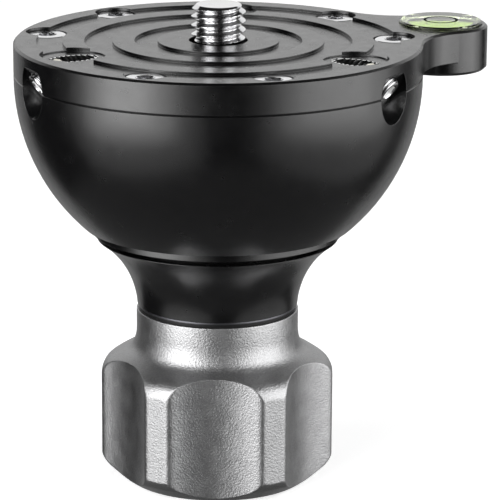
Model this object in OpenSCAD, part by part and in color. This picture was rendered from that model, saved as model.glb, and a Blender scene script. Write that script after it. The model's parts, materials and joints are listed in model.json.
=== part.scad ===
// Half-ball leveling base with a fluted clamp knob, in millimetres.
// +Z is up and +X runs along the arm of the bubble level.
// The origin is on the axis, in the plane of the raised lands that carry the camera head.

/* [Top plate] */
// Diameter of the top plate and of the half ball under it
plate_d = 71.6; // [70:0.2:80]
// Thickness of the plate and of the arm
plate_t = 5.6; // [5.2:0.1:8]
// Width of the sloped edge round the top face
edge_chamfer = 0.4; // [0.2:0.1:0.8]
// Depth of the ring grooves between the lands
groove_depth = 0.5; // [0.2:0.1:0.9]
// Radius of the middle land
land_1_r = 10.6; // [9:0.1:11.5]
// Width of the inner ring groove
groove_1_w = 4.05; // [3:0.05:4.5]
// Width of the second land
land_2_w = 3.85; // [3:0.05:4.5]
// Width of the middle ring groove
groove_2_w = 4.9; // [4:0.1:5.5]
// Width of the third land
land_3_w = 3.8; // [3:0.1:4.5]
// Width of the outer ring groove
groove_3_w = 4.6; // [3.5:0.1:5]

/* [Level arm] */
// Distance from the rim to the middle of the level
arm_reach = 7; // [6.6:0.1:14]
// Diameter of the round end of the arm
boss_d = 16.8; // [16.6:0.1:19]
// Depth of the round end below the rest of the arm
boss_drop = 2.4; // [1:0.1:5]
// Width of the sloped edge round the underside of the round end
boss_edge = 0.5; // [0.2:0.1:0.8]
// Radius of the hollow flanks of the arm
arm_fillet_r = 12; // [8:0.5:16]
// Height of the level's pocket above the underside of the arm
pocket_rise = 0.4; // [0.2:0.1:1]
// Gap between the round end and the ball below the seam
boss_gap = 0.2; // [0.1:0.05:0.5]

/* [Bubble level] */
// Diameter of the level's capsule
vial_d = 14.8; // [12:0.1:15]
// Height of the capsule above the arm
vial_proud = 0.6; // [0.2:0.1:1.2]
// Wall of the capsule
vial_wall = 1.5; // [1:0.1:1.8]
// Thickness of the capsule's top at its middle
vial_top_t = 1.6; // [1.2:0.1:2]
// Radius of the hollow underside of the capsule's top
vial_lens_r = 40; // [25:1:80]
// Thickness of the plug under the liquid
vial_base_t = 1.2; // [0.8:0.1:1.6]
// Thickness of the adhesive pad
vial_pad_t = 0.4; // [0.2:0.1:0.8]
// Distance of the pad's edge inside the capsule's
vial_pad_inset = 1; // [0.5:0.1:2]
// Width of the sloped edge round the capsule's top
vial_edge = 0.25; // [0.15:0.05:0.4]
// Diameter of the bubble
bubble_d = 4.6; // [3:0.1:6]

/* [Plate screws] */
// Distance from the rim to the screws
screw_inset = 4.7; // [4.6:0.1:6]
// Angle from the middle of a pair of screws to each of the two
screw_spread = 20; // [16:1:24]
// Turn of all screws from the arm's direction
pattern_turn = 5.5; // [-8:0.5:8]
// Thread diameter of the plate screws
screw_d = 4; // [3:0.5:4]
// Head diameter of the plate screws
screw_head_d = 7; // [6.4:0.1:7.2]
// Head height of the plate screws
screw_head_h = 2.4; // [2:0.1:2.6]
// Width across the flats of the plate screws' sockets
screw_hex = 3; // [2:0.5:3]
// Depth of the screw heads below the lands
screw_sink = 0.5; // [0.3:0.1:1.2]
// Length of the plate screws under their heads
screw_l = 10; // [8:0.5:12]

/* [Set screws] */
// Thread diameter of the set screws
set_d = 5; // [4:0.5:5]
// Length of a set screw with its tip
set_l = 6; // [5.5:0.5:7]
// Length of the tip alone
set_tip_l = 1.2; // [0.8:0.1:1.6]
// Diameter of the tip
tip_d = 3.8; // [3:0.1:3.8]
// Diameter of the tip's stem in the screw
tip_stem_d = 1.8; // [1.4:0.1:2]
// Length of the tip's stem
tip_stem_l = 1.5; // [1:0.1:1.8]
// Depth of the set screws' sockets
set_socket_l = 2; // [1.5:0.1:2.4]
// Slope of the set screws below the horizontal, in degrees
set_tilt = 33; // [31:1:36]
// Distance from the rim to the middle of the holes' upper mouths
mouth_inset = 7.9; // [7.6:0.1:8.4]
// Width across the flats of the set screws' sockets
set_hex = 2.5; // [2:0.5:2.5]
// Diameter of the round flat round the upper mouth
spot_d = 11.5; // [10:0.1:12]
// Depth of that round flat below the lands
spot_depth = 0.7; // [0.5:0.1:1]
// Diameter of the side recess for the key
recess_d = 8.4; // [8:0.1:9]
// Depth below the lands at which the recess starts in the rim
recess_drop = 1.9; // [1.6:0.1:2.4]
// Length of set screw that stands out into the recess
set_proud = 0.75; // [0.2:0.05:1.2]

/* [Mounting screw] */
// Thread diameter of the mounting screw, 3/8 inch
mount_d = 9.525; // [6.35, 9.525]
// Height of the mounting screw above the lands
mount_rise = 6.4; // [5:0.1:9]
// Width of the sloped edge at the screw's tip
mount_chamfer = 0.9; // [0.5:0.1:1.2]
// Depth of the thread relief at the seat
mount_relief = 0.7; // [0.4:0.1:0.9]
// Height of the thread relief below the seat
mount_relief_h = 1.2; // [1:0.1:2]
// Clearance round the mounting screw in the plate
mount_gap = 0.4; // [0.3:0.1:0.6]
// Width across the flats of the screw's head
mount_hex = 14.3; // [13:0.1:15]
// Height of the screw's head
mount_head_h = 5; // [4:0.1:6]
// Plate left above the screw's head
mount_web_t = 4.2; // [3.5:0.1:5]
// Thickness of the disc under the screw's head
retainer_t = 1.6; // [1.2:0.1:2.4]
// Thread diameter of the disc's screws
small_screw_d = 3; // [2.5:0.5:3]
// Wall between the disc's screws and the corners of the hexagon
small_wall = 1; // [0.8:0.1:1.4]
// Length of the disc's screws under their heads
small_screw_l = 5.5; // [4.5:0.5:6]
// Head diameter of the disc's screws
small_head_d = 5.7; // [5:0.1:6]
// Head height of the disc's screws
small_head_h = 1.8; // [1.4:0.1:2]

/* [Half ball] */
// Height of the seam above the ball's centre
ball_drop = 0.45; // [0:0.05:1]
// Diameter of the edge at which the ball's curve ends over the cup
ball_edge_d = 48; // [46:0.2:50]
// Diameter of the round foot under that edge
ball_foot_d = 44.4; // [43.2:0.2:45.6]
// Height of the round foot
ball_foot_h = 1.55; // [1:0.05:2.5]
// Thickness of the ball's shell
ball_wall = 5.5; // [4.5:0.1:6.5]
// Width of the solid ring that takes the plate screws
ball_rim_w = 9.4; // [9:0.1:10]
// Thickness of the ball's floor
ball_floor_t = 7; // [6.5:0.1:7.5]
// Width of the sloped edges at the seam
seam_chamfer = 0.2; // [0.1:0.05:0.4]
// Height of the plate's centring ring in the ball
spigot_h = 2; // [1.5:0.1:3]
// Width of the centring ring
spigot_w = 3; // [2:0.1:4]

/* [Clamp stud] */
// Thread diameter of the stud
stud_d = 12; // [10:0.5:12]
// Diameter of the stud's collar
collar_d = 18; // [16:0.5:20]
// Height of the stud's collar
collar_h = 3.5; // [3:0.1:4.5]
// Thread diameter of the stud's upper end
stud_top_d = 10; // [8:0.5:10]
// Width across the flats of the nut in the ball
nut_hex = 17; // [15:0.5:18]
// Height of the nut in the ball
nut_h = 7; // [6:0.5:8]
// Diameter of the washer under the nut
nut_washer_d = 22; // [20:0.5:26]
// Thickness of the washers on the stud
washer_t = 2; // [1.5:0.1:2.5]
// Length of the stud above the nut
stud_rise = 1; // [0.5:0.1:2]
// Diameter of the stop washer at the stud's lower end
stop_d = 16.6; // [15:0.2:17]
// Thread diameter of the stop screw
stop_screw_d = 5; // [4:0.5:6]
// Length of the stop screw under its head
stop_screw_l = 12; // [10:0.5:14]
// Head diameter of the stop screw
stop_head_d = 9; // [8:0.1:10]
// Head height of the stop screw
stop_head_h = 1.8; // [1.4:0.1:2.2]
// Room between the stop screw and the cap under it
stop_room = 1.4; // [1:0.1:4]

/* [Clamp cup] */
// Outer diameter of the cup's top
cup_d = 42.8; // [41.6:0.2:43]
// Height of the upright edge round the cup's top
cup_edge_h = 0.1; // [0.1:0.1:0.6]
// Height of the cup
cup_h = 12.2; // [11:0.05:16]
// Gap between the ball's foot and the cup's top
cup_gap = 1; // [0.6:0.1:1.6]
// Diameter of the cup at its waist
waist_d = 28.4; // [27.8:0.2:29]
// Distance of the waist's narrowest point below the cup
waist_drop = 1.45; // [0.5:0.05:3]
// Diameter of the pocket for the retaining ring
cup_pocket_d = 23; // [22:0.2:23.6]
// Depth of that pocket below the cup's top
cup_pocket_h = 3.2; // [3:0.1:5]
// Inner diameter of the friction ring on the cup
liner_in_d = 26; // [25:0.2:27]
// Width of the friction ring
liner_w = 4.5; // [3:0.1:5.4]
// Thickness of the friction ring
liner_t = 1.8; // [1.7:0.1:2.2]
// Gap between the friction ring and the ball's foot
liner_gap = 0.2; // [0.1:0.05:0.3]

/* [Knob] */
// Diameter to which the knob's body is turned
knob_d = 41.9; // [40.5:0.1:50]
// Diameter of the knob's collar
knob_collar_d = 28.8; // [28.8:0.1:31]
// Height of the knob
knob_h = 31; // [30:0.05:40]
// Length of the collar above the shoulder
knob_collar_h = 3.45; // [3:0.05:6]
// Height of the shoulder between collar and body
shoulder_h = 10.65; // [8:0.05:12]
// Fullness of the shoulder's hollow part under the collar
shoulder_hollow = 0.7; // [0.4:0.01:0.8]
// Fullness of the shoulder's round part above the body
shoulder_round = 0.76; // [0.4:0.01:0.8]
// Number of flutes
flutes = 6; // [5:1:8]
// Radius of the hollow of a flute
flute_r = 20; // [16:1:30]
// Depth of a flute
flute_depth = 3.6; // [1:0.05:3.8]
// Depth of the flats between the flutes
flat_depth = 0.3; // [0.2:0.05:0.6]
// Turn of the flutes from the arm's direction
flute_turn = 7.5; // [-30:0.5:30]
// Width of the sloped edge at the knob's foot
foot_bevel_w = 4.6; // [1:0.1:5]
// Height of that sloped edge
foot_bevel_h = 3.2; // [1:0.1:4]
// Radius of the rounding between the body and that sloped edge
foot_round = 3.95; // [1:0.05:4.5]
// Sloped edge at the top of the collar
knob_top_chamfer = 0.2; // [0.1:0.1:1]
// Diameter of the hollow in the knob
knob_bore_d = 26.8; // [26.6:0.1:27.6]
// Thickness of the steel washer under the cup
thrust_t = 0.35; // [0.3:0.05:1]
// Thickness of the dark washer on the knob
slip_t = 0.5; // [0.4:0.1:1]
// Distance of the steel washer's edge inside the waist
thrust_inset = 0.05; // [0:0.05:0.6]
// Distance of the dark washer's edge inside the waist
slip_inset = 0.3; // [0.2:0.1:2]

/* [Knob bush] */
// Outer diameter of the bush's neck
neck_d = 17.2; // [16.4:0.1:18]
// Outer diameter of the bush in the knob
barrel_d = 18.2; // [18:0.1:18.6]
// Length of the bush in the knob
barrel_l = 6; // [5:0.1:7]
// Diameter of the bush's flange
flange_d = 26.4; // [26:0.1:26.5]
// Thickness of the bush's flange
flange_t = 3; // [2.5:0.1:3.5]
// Thickness of the retaining ring
ring_t = 1; // [0.8:0.1:1.2]
// Depth of the retaining ring's groove
ring_bite = 0.6; // [0.4:0.1:0.8]
// Width of the retaining ring outside the neck
ring_w = 2; // [1.4:0.1:2.4]
// Width of the retaining ring's slot
ring_slot = 2.4; // [2:0.1:4]
// Room between the retaining ring and the floor of its pocket
ring_room = 0.3; // [0.2:0.05:0.5]
// Length of the bush's neck above the retaining ring
neck_rise = 0.8; // [0.6:0.1:1]
// Thread diameter of the bush's screws
bush_screw_d = 2.5; // [2:0.5:2.5]
// Length of the bush's screws in the knob
bush_grip = 4; // [3:0.1:4.2]
// Head diameter of the bush's screws
bush_head_d = 4.2; // [3.8:0.1:4.3]
// Head height of the bush's screws
bush_head_h = 1.5; // [1.2:0.1:1.6]
// Thickness of the cap at the knob's foot
cap_t = 1.6; // [1.2:0.1:2]
// Depth of the cap above the knob's foot
cap_inset = 0.5; // [0.3:0.1:1]
// Diameter of the two holes in the cap
cap_hole_d = 2.5; // [2:0.1:4]

/* [Fits] */
// Radial clearance of a shaft that turns or slides in its bore
run_gap = 0.05; // [0.02:0.01:0.1]
// Clearance between fixed pieces
fit_gap = 0.05; // [0.02:0.01:0.1]
// Clearance round screw heads, and in the holes that screws pass through
screw_gap = 0.2; // [0.1:0.05:0.25]
// Clearance of the mounting screw's head in its pocket
hex_gap = 0.1; // [0.05:0.05:0.2]
// Depth of the tapped holes past the ends of their screws
tap_room = 0.6; // [0.4:0.1:1]

/* [Hidden] */
$fn = 96;

// Cuts reach this far past the faces that they open
over = 1;

// Plate and its rings
ball_r = plate_d / 2;
land_2_in = land_1_r + groove_1_w;
land_2_out = land_2_in + land_2_w;
land_3_in = land_2_out + groove_2_w;
land_3_out = land_3_in + land_3_w;
land_4_in = land_3_out + groove_3_w;
seam_z = -plate_t;

// Arm: the hollow flanks touch both the rim and the round end, and are cut a hair deeper than that
flank_cut_r = arm_fillet_r + 0.02;
boss_r = boss_d / 2;
boss_h = plate_t + boss_drop;
arm_x = ball_r + arm_reach;
flank_rim = ball_r + arm_fillet_r;
flank_boss = boss_r + arm_fillet_r;
flank_x = (flank_rim ^ 2 - flank_boss ^ 2 + arm_x ^ 2) / (2 * arm_x);
flank_y = sqrt(flank_rim ^ 2 - flank_x ^ 2);
flank = [flank_x, flank_y];
rim_touch = flank * (ball_r / flank_rim);
boss_touch = [arm_x, 0] + (flank - [arm_x, 0]) * (boss_r / flank_boss);

// Level, counted from the floor of its pocket
pocket_z = seam_z + pocket_rise;
vial_z = pocket_z + vial_pad_t;
vial_h = vial_proud - vial_z;
vial_r = vial_d / 2;
cavity_r = vial_r - vial_wall;
cavity_top = vial_h - vial_top_t;
cavity_floor = vial_base_t + fit_gap;

// Plate screws
screw_circle_r = ball_r - screw_inset;
screw_angles = [for (pair = [0, 120, 240], side = [-1, 1]) pattern_turn + pair + side * screw_spread];
counterbore_d = screw_head_d + 2 * screw_gap;
screw_seat = screw_sink + screw_head_h;

// Set screws: distances along each slanted axis count from the middle of the upper mouth
mouth_r = ball_r - mouth_inset;
recess_at = mouth_inset * cos(set_tilt) + (recess_drop - spot_depth) * sin(set_tilt);
set_end = recess_at + set_proud;
set_start = set_end - set_l;

// Mounting screw and the hub round its head
mount_r = mount_d / 2;
mount_hole_r = mount_r + mount_gap;
hub_z = -(mount_web_t + mount_head_h + screw_gap);
hex_corner_r = (mount_hex / 2 + hex_gap) / cos(30);
small_circle_r = hex_corner_r + small_screw_d / 2 + small_wall;
retainer_r = small_circle_r + small_screw_d;

// Half ball: its curve ends at an edge, with a round foot below
ball_z = seam_z - ball_drop;
ball_edge_r = ball_edge_d / 2;
ball_edge_z = ball_z - sqrt(ball_r ^ 2 - ball_edge_r ^ 2);
ball_foot_z = ball_edge_z - ball_foot_h;
ball_floor_z = ball_foot_z + ball_floor_t;
ball_mouth_r = ball_r - ball_rim_w;

// Stud, from its collar in the ball's foot
stud_r = stud_d / 2;
collar_top_z = ball_foot_z + collar_h;
nut_z = ball_floor_z + washer_t;
stud_top_z = nut_z + nut_h + stud_rise;

// Cup, from its top down
cup_top_z = ball_foot_z - cup_gap;
cup_pocket_z = cup_top_z - cup_pocket_h;
cup_z = cup_top_z - cup_h;
cup_r = cup_d / 2;
waist_r = waist_d / 2;
waist_z = cup_z - waist_drop;
// The hollow of the neck is an arc through the top's lower edge, upright at the waist
hollow_rise = cup_top_z - cup_edge_h - waist_z;
hollow_r = ((cup_r - waist_r) ^ 2 + hollow_rise ^ 2) / (2 * (cup_r - waist_r));

// Friction ring, in a groove of the cup's top
liner_in_r = liner_in_d / 2;
liner_out_r = liner_in_r + liner_w;
liner_top_z = ball_foot_z - liner_gap;
liner_z = liner_top_z - liner_t;

// Washers and knob, from the cup down
thrust_z = cup_z - fit_gap - thrust_t;
knob_top_z = thrust_z - fit_gap - slip_t - fit_gap;
knob_foot_z = knob_top_z - knob_h;
knob_r = knob_d / 2;
knob_collar_r = knob_collar_d / 2;
thrust_r = waist_r - thrust_inset;
slip_r = waist_r - slip_inset;
flute_angles = [for (i = [0:flutes - 1]) flute_turn + i * 360 / flutes];
foot_slope = atan(foot_bevel_w / foot_bevel_h);

// Bush, from the knob's top down
neck_r = neck_d / 2;
barrel_r = barrel_d / 2;
flange_r = flange_d / 2;
ring_z = cup_pocket_z + ring_room;
neck_top_z = ring_z + ring_t + neck_rise;
ring_r = neck_r + ring_w;
flange_z = knob_top_z - barrel_l;
bush_z = flange_z - flange_t;
knob_bore_r = knob_bore_d / 2;
bush_circle_r = knob_bore_r - screw_gap - bush_head_d / 2;
bush_screw_l = flange_t + bush_grip;

// Stop at the stud's lower end, over the cap; the bush meets its washer at the end of the knob's way
cap_z = knob_foot_z + cap_inset;
stud_foot_z = cap_z + cap_t + stop_room + stop_head_h + washer_t;

// Points on a curve with four guide points
function curve_point(p, t) =
    (1 - t) ^ 3 * p[0] + 3 * (1 - t) ^ 2 * t * p[1] + 3 * (1 - t) * t ^ 2 * p[2] + t ^ 3 * p[3];
function curve(p, steps) = [for (i = [0:steps]) curve_point(p, i / steps)];

module on_circle(r, angles) {
    for (a = angles) {
        rotate([0, 0, a]) translate([r, 0, 0]) children();
    }
}

// Puts its children in the frame of set screw number i, with +Z down and outward along its axis
module on_set_axis(i) {
    rotate([0, 0, pattern_turn + 60 + 120 * i])
        translate([mouth_r, 0, -spot_depth])
            rotate([0, 90 + set_tilt, 0])
                children();
}

module hexagon_prism(width, h) {
    cylinder(r = width / 2 / cos(30), h = h, $fn = 6);
}

// Cylinder from z = 0 up, with a sloped edge at its top and, if asked for, at its foot
module chamfered_cylinder(r, h, top, foot = 0) {
    foot_edge = foot > 0 ? [[r - foot, 0], [r, foot]] : [[r, 0]];
    rotate_extrude() polygon(concat([[0, 0]], foot_edge, [[r, h - top], [r - top, h], [0, h]]));
}

// Upright ring from z = low to z = high
module ring(r_in, r_out, low, high) {
    translate([0, 0, low]) {
        difference() {
            cylinder(r = r_out, h = high - low);
            translate([0, 0, -over]) cylinder(r = r_in, h = high - low + 2 * over);
        }
    }
}

// Socket screw whose head stands on z = 0 and whose shank hangs below it
module cap_screw(d, l, head_d, head_h, hex) {
    difference() {
        union() {
            chamfered_cylinder(head_d / 2, head_h, 0.3);
            translate([0, 0, -l]) cylinder(r = d / 2, h = l + 0.01);
        }
        translate([0, 0, head_h * 0.45]) hexagon_prism(hex, head_h);
    }
}

// Holes, flats and key recesses of the set screws, cut from plate and ball alike
module set_screw_cuts() {
    for (i = [0:2]) {
        on_set_axis(i) {
            translate([0, 0, -2 * set_d]) cylinder(r = set_d / 2 + run_gap, h = 2 * set_d + recess_at + over);
            translate([0, 0, recess_at]) cylinder(r = recess_d / 2, h = ball_r / 2);
        }
    }
}

module arm_web() {
    difference() {
        translate([0, 0, seam_z]) linear_extrude(plate_t) {
            polygon([rim_touch * 0.93, flank, boss_touch, [arm_x, 0], [boss_touch[0], -boss_touch[1]],
                [flank[0], -flank[1]], [rim_touch[0], -rim_touch[1]] * 0.93]);
        }
        for (side = [-1, 1]) {
            translate([flank[0], side * flank[1], 0]) {
                translate([0, 0, seam_z - over]) cylinder(r = flank_cut_r, h = plate_t + 2 * over);
                translate([0, 0, -edge_chamfer])
                    cylinder(r1 = flank_cut_r, r2 = flank_cut_r + 2 * edge_chamfer, h = 2 * edge_chamfer);
            }
        }
    }
}

// Round end of the arm, kept clear of the ball below the seam
module arm_boss() {
    difference() {
        translate([arm_x, 0, -boss_h]) chamfered_cylinder(boss_r, boss_h, edge_chamfer, boss_edge);
        translate([0, 0, -boss_h - over]) cylinder(r = ball_r + boss_gap, h = boss_drop + over);
    }
}

module top_plate() {
    color("#222326") difference() {
        union() {
            rotate_extrude() polygon([[0, seam_z], [ball_r - seam_chamfer, seam_z],
                [ball_r, seam_z + seam_chamfer],
                [ball_r, -edge_chamfer], [ball_r - edge_chamfer, 0], [0, 0]]);
            arm_web();
            arm_boss();
            ring(ball_mouth_r - spigot_w, ball_mouth_r - fit_gap, seam_z - spigot_h, seam_z + over);
            translate([0, 0, hub_z]) cylinder(r = retainer_r, h = -hub_z - over);
        }
        ring(land_1_r, land_2_in, -groove_depth, over);
        ring(land_2_out, land_3_in, -groove_depth, over);
        ring(land_3_out, land_4_in, -groove_depth, over);
        on_circle(screw_circle_r, screw_angles) {
            translate([0, 0, -screw_seat]) cylinder(r = counterbore_d / 2, h = screw_seat + over);
            translate([0, 0, seam_z - over]) cylinder(r = screw_d / 2 + screw_gap, h = plate_t + over);
        }
        for (i = [0:2]) {
            rotate([0, 0, pattern_turn + 60 + 120 * i])
                translate([mouth_r, 0, -spot_depth]) cylinder(r = spot_d / 2, h = spot_depth + over);
        }
        set_screw_cuts();
        translate([0, 0, hub_z - over]) cylinder(r = mount_hole_r, h = over - hub_z + over);
        translate([0, 0, hub_z - over]) hexagon_prism(mount_hex + 2 * hex_gap, over - hub_z - mount_web_t);
        translate([0, 0, hub_z - over]) on_circle(small_circle_r, [30, 150, 270])
            cylinder(r = small_screw_d / 2 + fit_gap, h = over + small_screw_l - retainer_t + tap_room);
        translate([arm_x, 0, pocket_z]) cylinder(r = vial_r + fit_gap, h = over - pocket_z);
    }
}

module half_ball() {
    color("#1b1c1f") difference() {
        translate([0, 0, ball_z]) sphere(r = ball_r);
        translate([0, 0, seam_z]) cylinder(r = ball_r + over, h = ball_r + over);
        ring(ball_foot_d / 2, ball_r, ball_foot_z - over, ball_edge_z);
        translate([0, 0, ball_foot_z - ball_r]) cylinder(r = ball_r, h = ball_r);
        intersection() {
            translate([0, 0, ball_z]) sphere(r = ball_r - ball_wall);
            translate([0, 0, ball_floor_z]) cylinder(r = ball_mouth_r, h = seam_z + over - ball_floor_z);
        }
        translate([0, 0, ball_z]) cylinder(r = ball_mouth_r, h = ball_drop + over);
        rotate_extrude() polygon([[ball_r + over, seam_z - seam_chamfer - over],
            [ball_r + over, seam_z + over], [ball_r - seam_chamfer - over, seam_z + over]]);
        on_circle(screw_circle_r, screw_angles)
            translate([0, 0, -screw_seat - screw_l - tap_room])
                cylinder(r = screw_d / 2 + fit_gap, h = screw_l + over);
        set_screw_cuts();
        translate([0, 0, ball_foot_z - over]) {
            cylinder(r = stud_top_d / 2 + fit_gap, h = ball_floor_t + 2 * over);
            cylinder(r = collar_d / 2 + fit_gap, h = collar_h + fit_gap + over);
        }
    }
}

module plate_screws() {
    color("#c9cbd0") on_circle(screw_circle_r, screw_angles)
        translate([0, 0, -screw_seat]) cap_screw(screw_d, screw_l, screw_head_d, screw_head_h, screw_hex);
}

module mounting_screw() {
    tip_r = mount_r - mount_chamfer;
    color("#d2d4d8") union() {
        translate([0, 0, -mount_web_t - mount_head_h]) hexagon_prism(mount_hex, mount_head_h);
        rotate_extrude() polygon([[0, -mount_web_t - over], [mount_r, -mount_web_t - over],
            [mount_r, -mount_relief_h - mount_relief], [mount_r - mount_relief, -mount_relief_h],
            [mount_r - mount_relief, 0], [mount_r, 0],
            [mount_r, mount_rise - mount_chamfer], [tip_r, mount_rise], [0, mount_rise]]);
    }
}

module screw_retainer() {
    color("#9a9ca0") translate([0, 0, hub_z - retainer_t]) {
        difference() {
            cylinder(r = retainer_r, h = retainer_t);
            on_circle(small_circle_r, [30, 150, 270])
                translate([0, 0, -over])
                    cylinder(r = small_screw_d / 2 + screw_gap, h = retainer_t + 2 * over);
        }
    }
}

module retainer_screws() {
    color("#b5b7bb") on_circle(small_circle_r, [30, 150, 270])
        translate([0, 0, hub_z - retainer_t]) mirror([0, 0, 1])
            cap_screw(small_screw_d, small_screw_l, small_head_d, small_head_h, small_screw_d / 2);
}

// Everything in the level stands on the middle of its pocket
module in_level(z) {
    translate([arm_x, 0, z]) children();
}

module vial_hollow(gap) {
    intersection() {
        translate([0, 0, cavity_floor]) cylinder(r = cavity_r - gap, h = cavity_top - cavity_floor);
        translate([0, 0, cavity_top - vial_lens_r - gap]) sphere(r = vial_lens_r);
    }
}

module vial_body() {
    color("#c8e86a", 0.6) in_level(vial_z) {
        difference() {
            chamfered_cylinder(vial_r, vial_h, vial_edge);
            vial_hollow(0);
            translate([0, 0, -over])
                cylinder(r = cavity_r + fit_gap, h = cavity_floor + over + 0.001);
        }
    }
}

module vial_liquid() {
    bubble_sphere_r = bubble_d * 0.8;
    bubble_h = bubble_sphere_r - sqrt(bubble_sphere_r ^ 2 - (bubble_d / 2) ^ 2);
    color("#b6e04a") in_level(vial_z) {
        difference() {
            vial_hollow(fit_gap);
            translate([0, 0, cavity_top - bubble_h + bubble_sphere_r]) sphere(r = bubble_sphere_r);
        }
    }
}

module vial_base() {
    color("#8fc93a") in_level(vial_z) cylinder(r = cavity_r, h = vial_base_t);
}

module vial_pad() {
    color("#e8e8e4") in_level(pocket_z) cylinder(r = vial_r - vial_pad_inset, h = vial_pad_t);
}

module clamp_stud() {
    color("#b9bbc0") difference() {
        union() {
            translate([0, 0, stud_foot_z]) cylinder(r = stud_r, h = ball_foot_z - stud_foot_z + over);
            translate([0, 0, ball_foot_z]) cylinder(r = collar_d / 2, h = collar_h);
            translate([0, 0, collar_top_z - over])
                chamfered_cylinder(stud_top_d / 2, stud_top_z - collar_top_z + over, 0.8);
        }
        translate([0, 0, stud_foot_z - over])
            cylinder(r = stop_screw_d / 2 + fit_gap, h = stop_screw_l - washer_t + tap_room + over);
    }
}

module stud_washer() {
    color("#a8aaae") ring(stud_top_d / 2 + screw_gap, nut_washer_d / 2, ball_floor_z, nut_z);
}

module stud_nut() {
    color("#aeb0b4") difference() {
        translate([0, 0, nut_z]) hexagon_prism(nut_hex, nut_h);
        translate([0, 0, nut_z - over]) cylinder(r = stud_top_d / 2 + fit_gap, h = nut_h + 2 * over);
    }
}

module stop_washer() {
    color("#a8aaae") ring(stop_screw_d / 2 + screw_gap, stop_d / 2, stud_foot_z - washer_t, stud_foot_z);
}

module stop_screw() {
    color("#b5b7bb") translate([0, 0, stud_foot_z - washer_t]) mirror([0, 0, 1])
        cap_screw(stop_screw_d, stop_screw_l, stop_head_d, stop_head_h, stop_screw_d / 2);
}

module clamp_cup() {
    color("#202124") difference() {
        rotate_extrude() difference() {
            translate([0, cup_z]) square([cup_r, cup_h]);
            translate([waist_r + hollow_r, waist_z]) circle(r = hollow_r);
        }
        translate([0, 0, cup_pocket_z]) cylinder(r = cup_pocket_d / 2, h = cup_pocket_h + over);
        translate([0, 0, cup_z - over]) cylinder(r = neck_r + run_gap, h = cup_h + over);
        ring(liner_in_r - fit_gap, liner_out_r + fit_gap, liner_z, cup_top_z + over);
    }
}

module cup_liner() {
    color("#3a3b3e") ring(liner_in_r, liner_out_r, liner_z, liner_top_z);
}

module thrust_washer() {
    color("#d0d2d6") ring(neck_r + run_gap, thrust_r, thrust_z, thrust_z + thrust_t);
}

module knob() {
    wall_top = knob_collar_h;
    shoulder_end = knob_collar_h + shoulder_h;
    side = curve([[knob_collar_r, wall_top], [knob_collar_r, wall_top + shoulder_hollow * shoulder_h],
        [knob_r, shoulder_end - shoulder_round * shoulder_h], [knob_r, shoulder_end]], 12);
    top_edge = [[0, 0], [knob_collar_r - knob_top_chamfer, 0], [knob_collar_r, knob_top_chamfer]];
    round_start = knob_h - foot_bevel_h - foot_round * tan(foot_slope / 2);
    foot_edge = [for (a = [0:foot_slope / 8:foot_slope + 0.01])
        [knob_r - foot_round * (1 - cos(a)), round_start + foot_round * sin(a)]];
    outline = concat(top_edge, side, foot_edge, [[knob_r - foot_bevel_w, knob_h], [0, knob_h]]);
    color("#9b9da1") difference() {
        translate([0, 0, knob_top_z]) rotate_extrude() polygon([for (p = outline) [p[0], -p[1]]]);
        translate([0, 0, knob_foot_z - over])
            on_circle(knob_r - flute_depth + flute_r, flute_angles)
                cylinder(r = flute_r, h = knob_h - knob_collar_h + over);
        translate([0, 0, knob_foot_z - over])
            on_circle(knob_r - flat_depth, [for (a = flute_angles) a + 180 / flutes])
                translate([0, -knob_r / 2, 0]) cube([knob_r, knob_r, knob_h - knob_collar_h + over]);
        translate([0, 0, flange_z - over]) cylinder(r = barrel_r + fit_gap, h = barrel_l + 2 * over);
        translate([0, 0, knob_foot_z - over]) cylinder(r = knob_bore_r, h = flange_z - knob_foot_z + over);
        on_circle(bush_circle_r, [90, 210, 330])
            translate([0, 0, flange_z - over])
                cylinder(r = bush_screw_d / 2 + fit_gap, h = over + bush_grip + tap_room);
    }
}

module knob_bush() {
    color("#b08d4a") difference() {
        union() {
            translate([0, 0, bush_z]) cylinder(r = flange_r, h = flange_t);
            translate([0, 0, flange_z - over]) cylinder(r = barrel_r, h = barrel_l + over);
            translate([0, 0, knob_top_z - over]) cylinder(r = neck_r, h = neck_top_z - knob_top_z + over);
        }
        ring(neck_r - ring_bite, neck_r + over, ring_z, ring_z + ring_t + 0.1);
        translate([0, 0, bush_z - over]) cylinder(r = stud_r + run_gap, h = neck_top_z - bush_z + 2 * over);
        on_circle(bush_circle_r, [90, 210, 330])
            translate([0, 0, bush_z - over])
                cylinder(r = bush_screw_d / 2 + screw_gap, h = flange_t + 2 * over);
    }
}

module slip_washer() {
    color("#18181a") ring(neck_r + run_gap, slip_r, knob_top_z + fit_gap, knob_top_z + fit_gap + slip_t);
}

module retaining_ring() {
    color("#8e9095") difference() {
        ring(neck_r - ring_bite + fit_gap, ring_r, ring_z + fit_gap, ring_z + ring_t);
        translate([0, -ring_slot / 2, ring_z - over]) cube([ring_r + over, ring_slot, ring_t + 2 * over]);
    }
}

module bush_screws() {
    color("#b5b7bb") on_circle(bush_circle_r, [90, 210, 330])
        translate([0, 0, bush_z]) mirror([0, 0, 1])
            cap_screw(bush_screw_d, bush_screw_l, bush_head_d, bush_head_h, bush_screw_d / 2);
}

module base_cap() {
    color("#2a2b2e") translate([0, 0, cap_z]) difference() {
        cylinder(r = knob_bore_r - fit_gap, h = cap_t);
        on_circle(knob_bore_r * 0.6, [0, 180])
            translate([0, 0, -over]) cylinder(r = cap_hole_d / 2, h = cap_t + 2 * over);
    }
}

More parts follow.
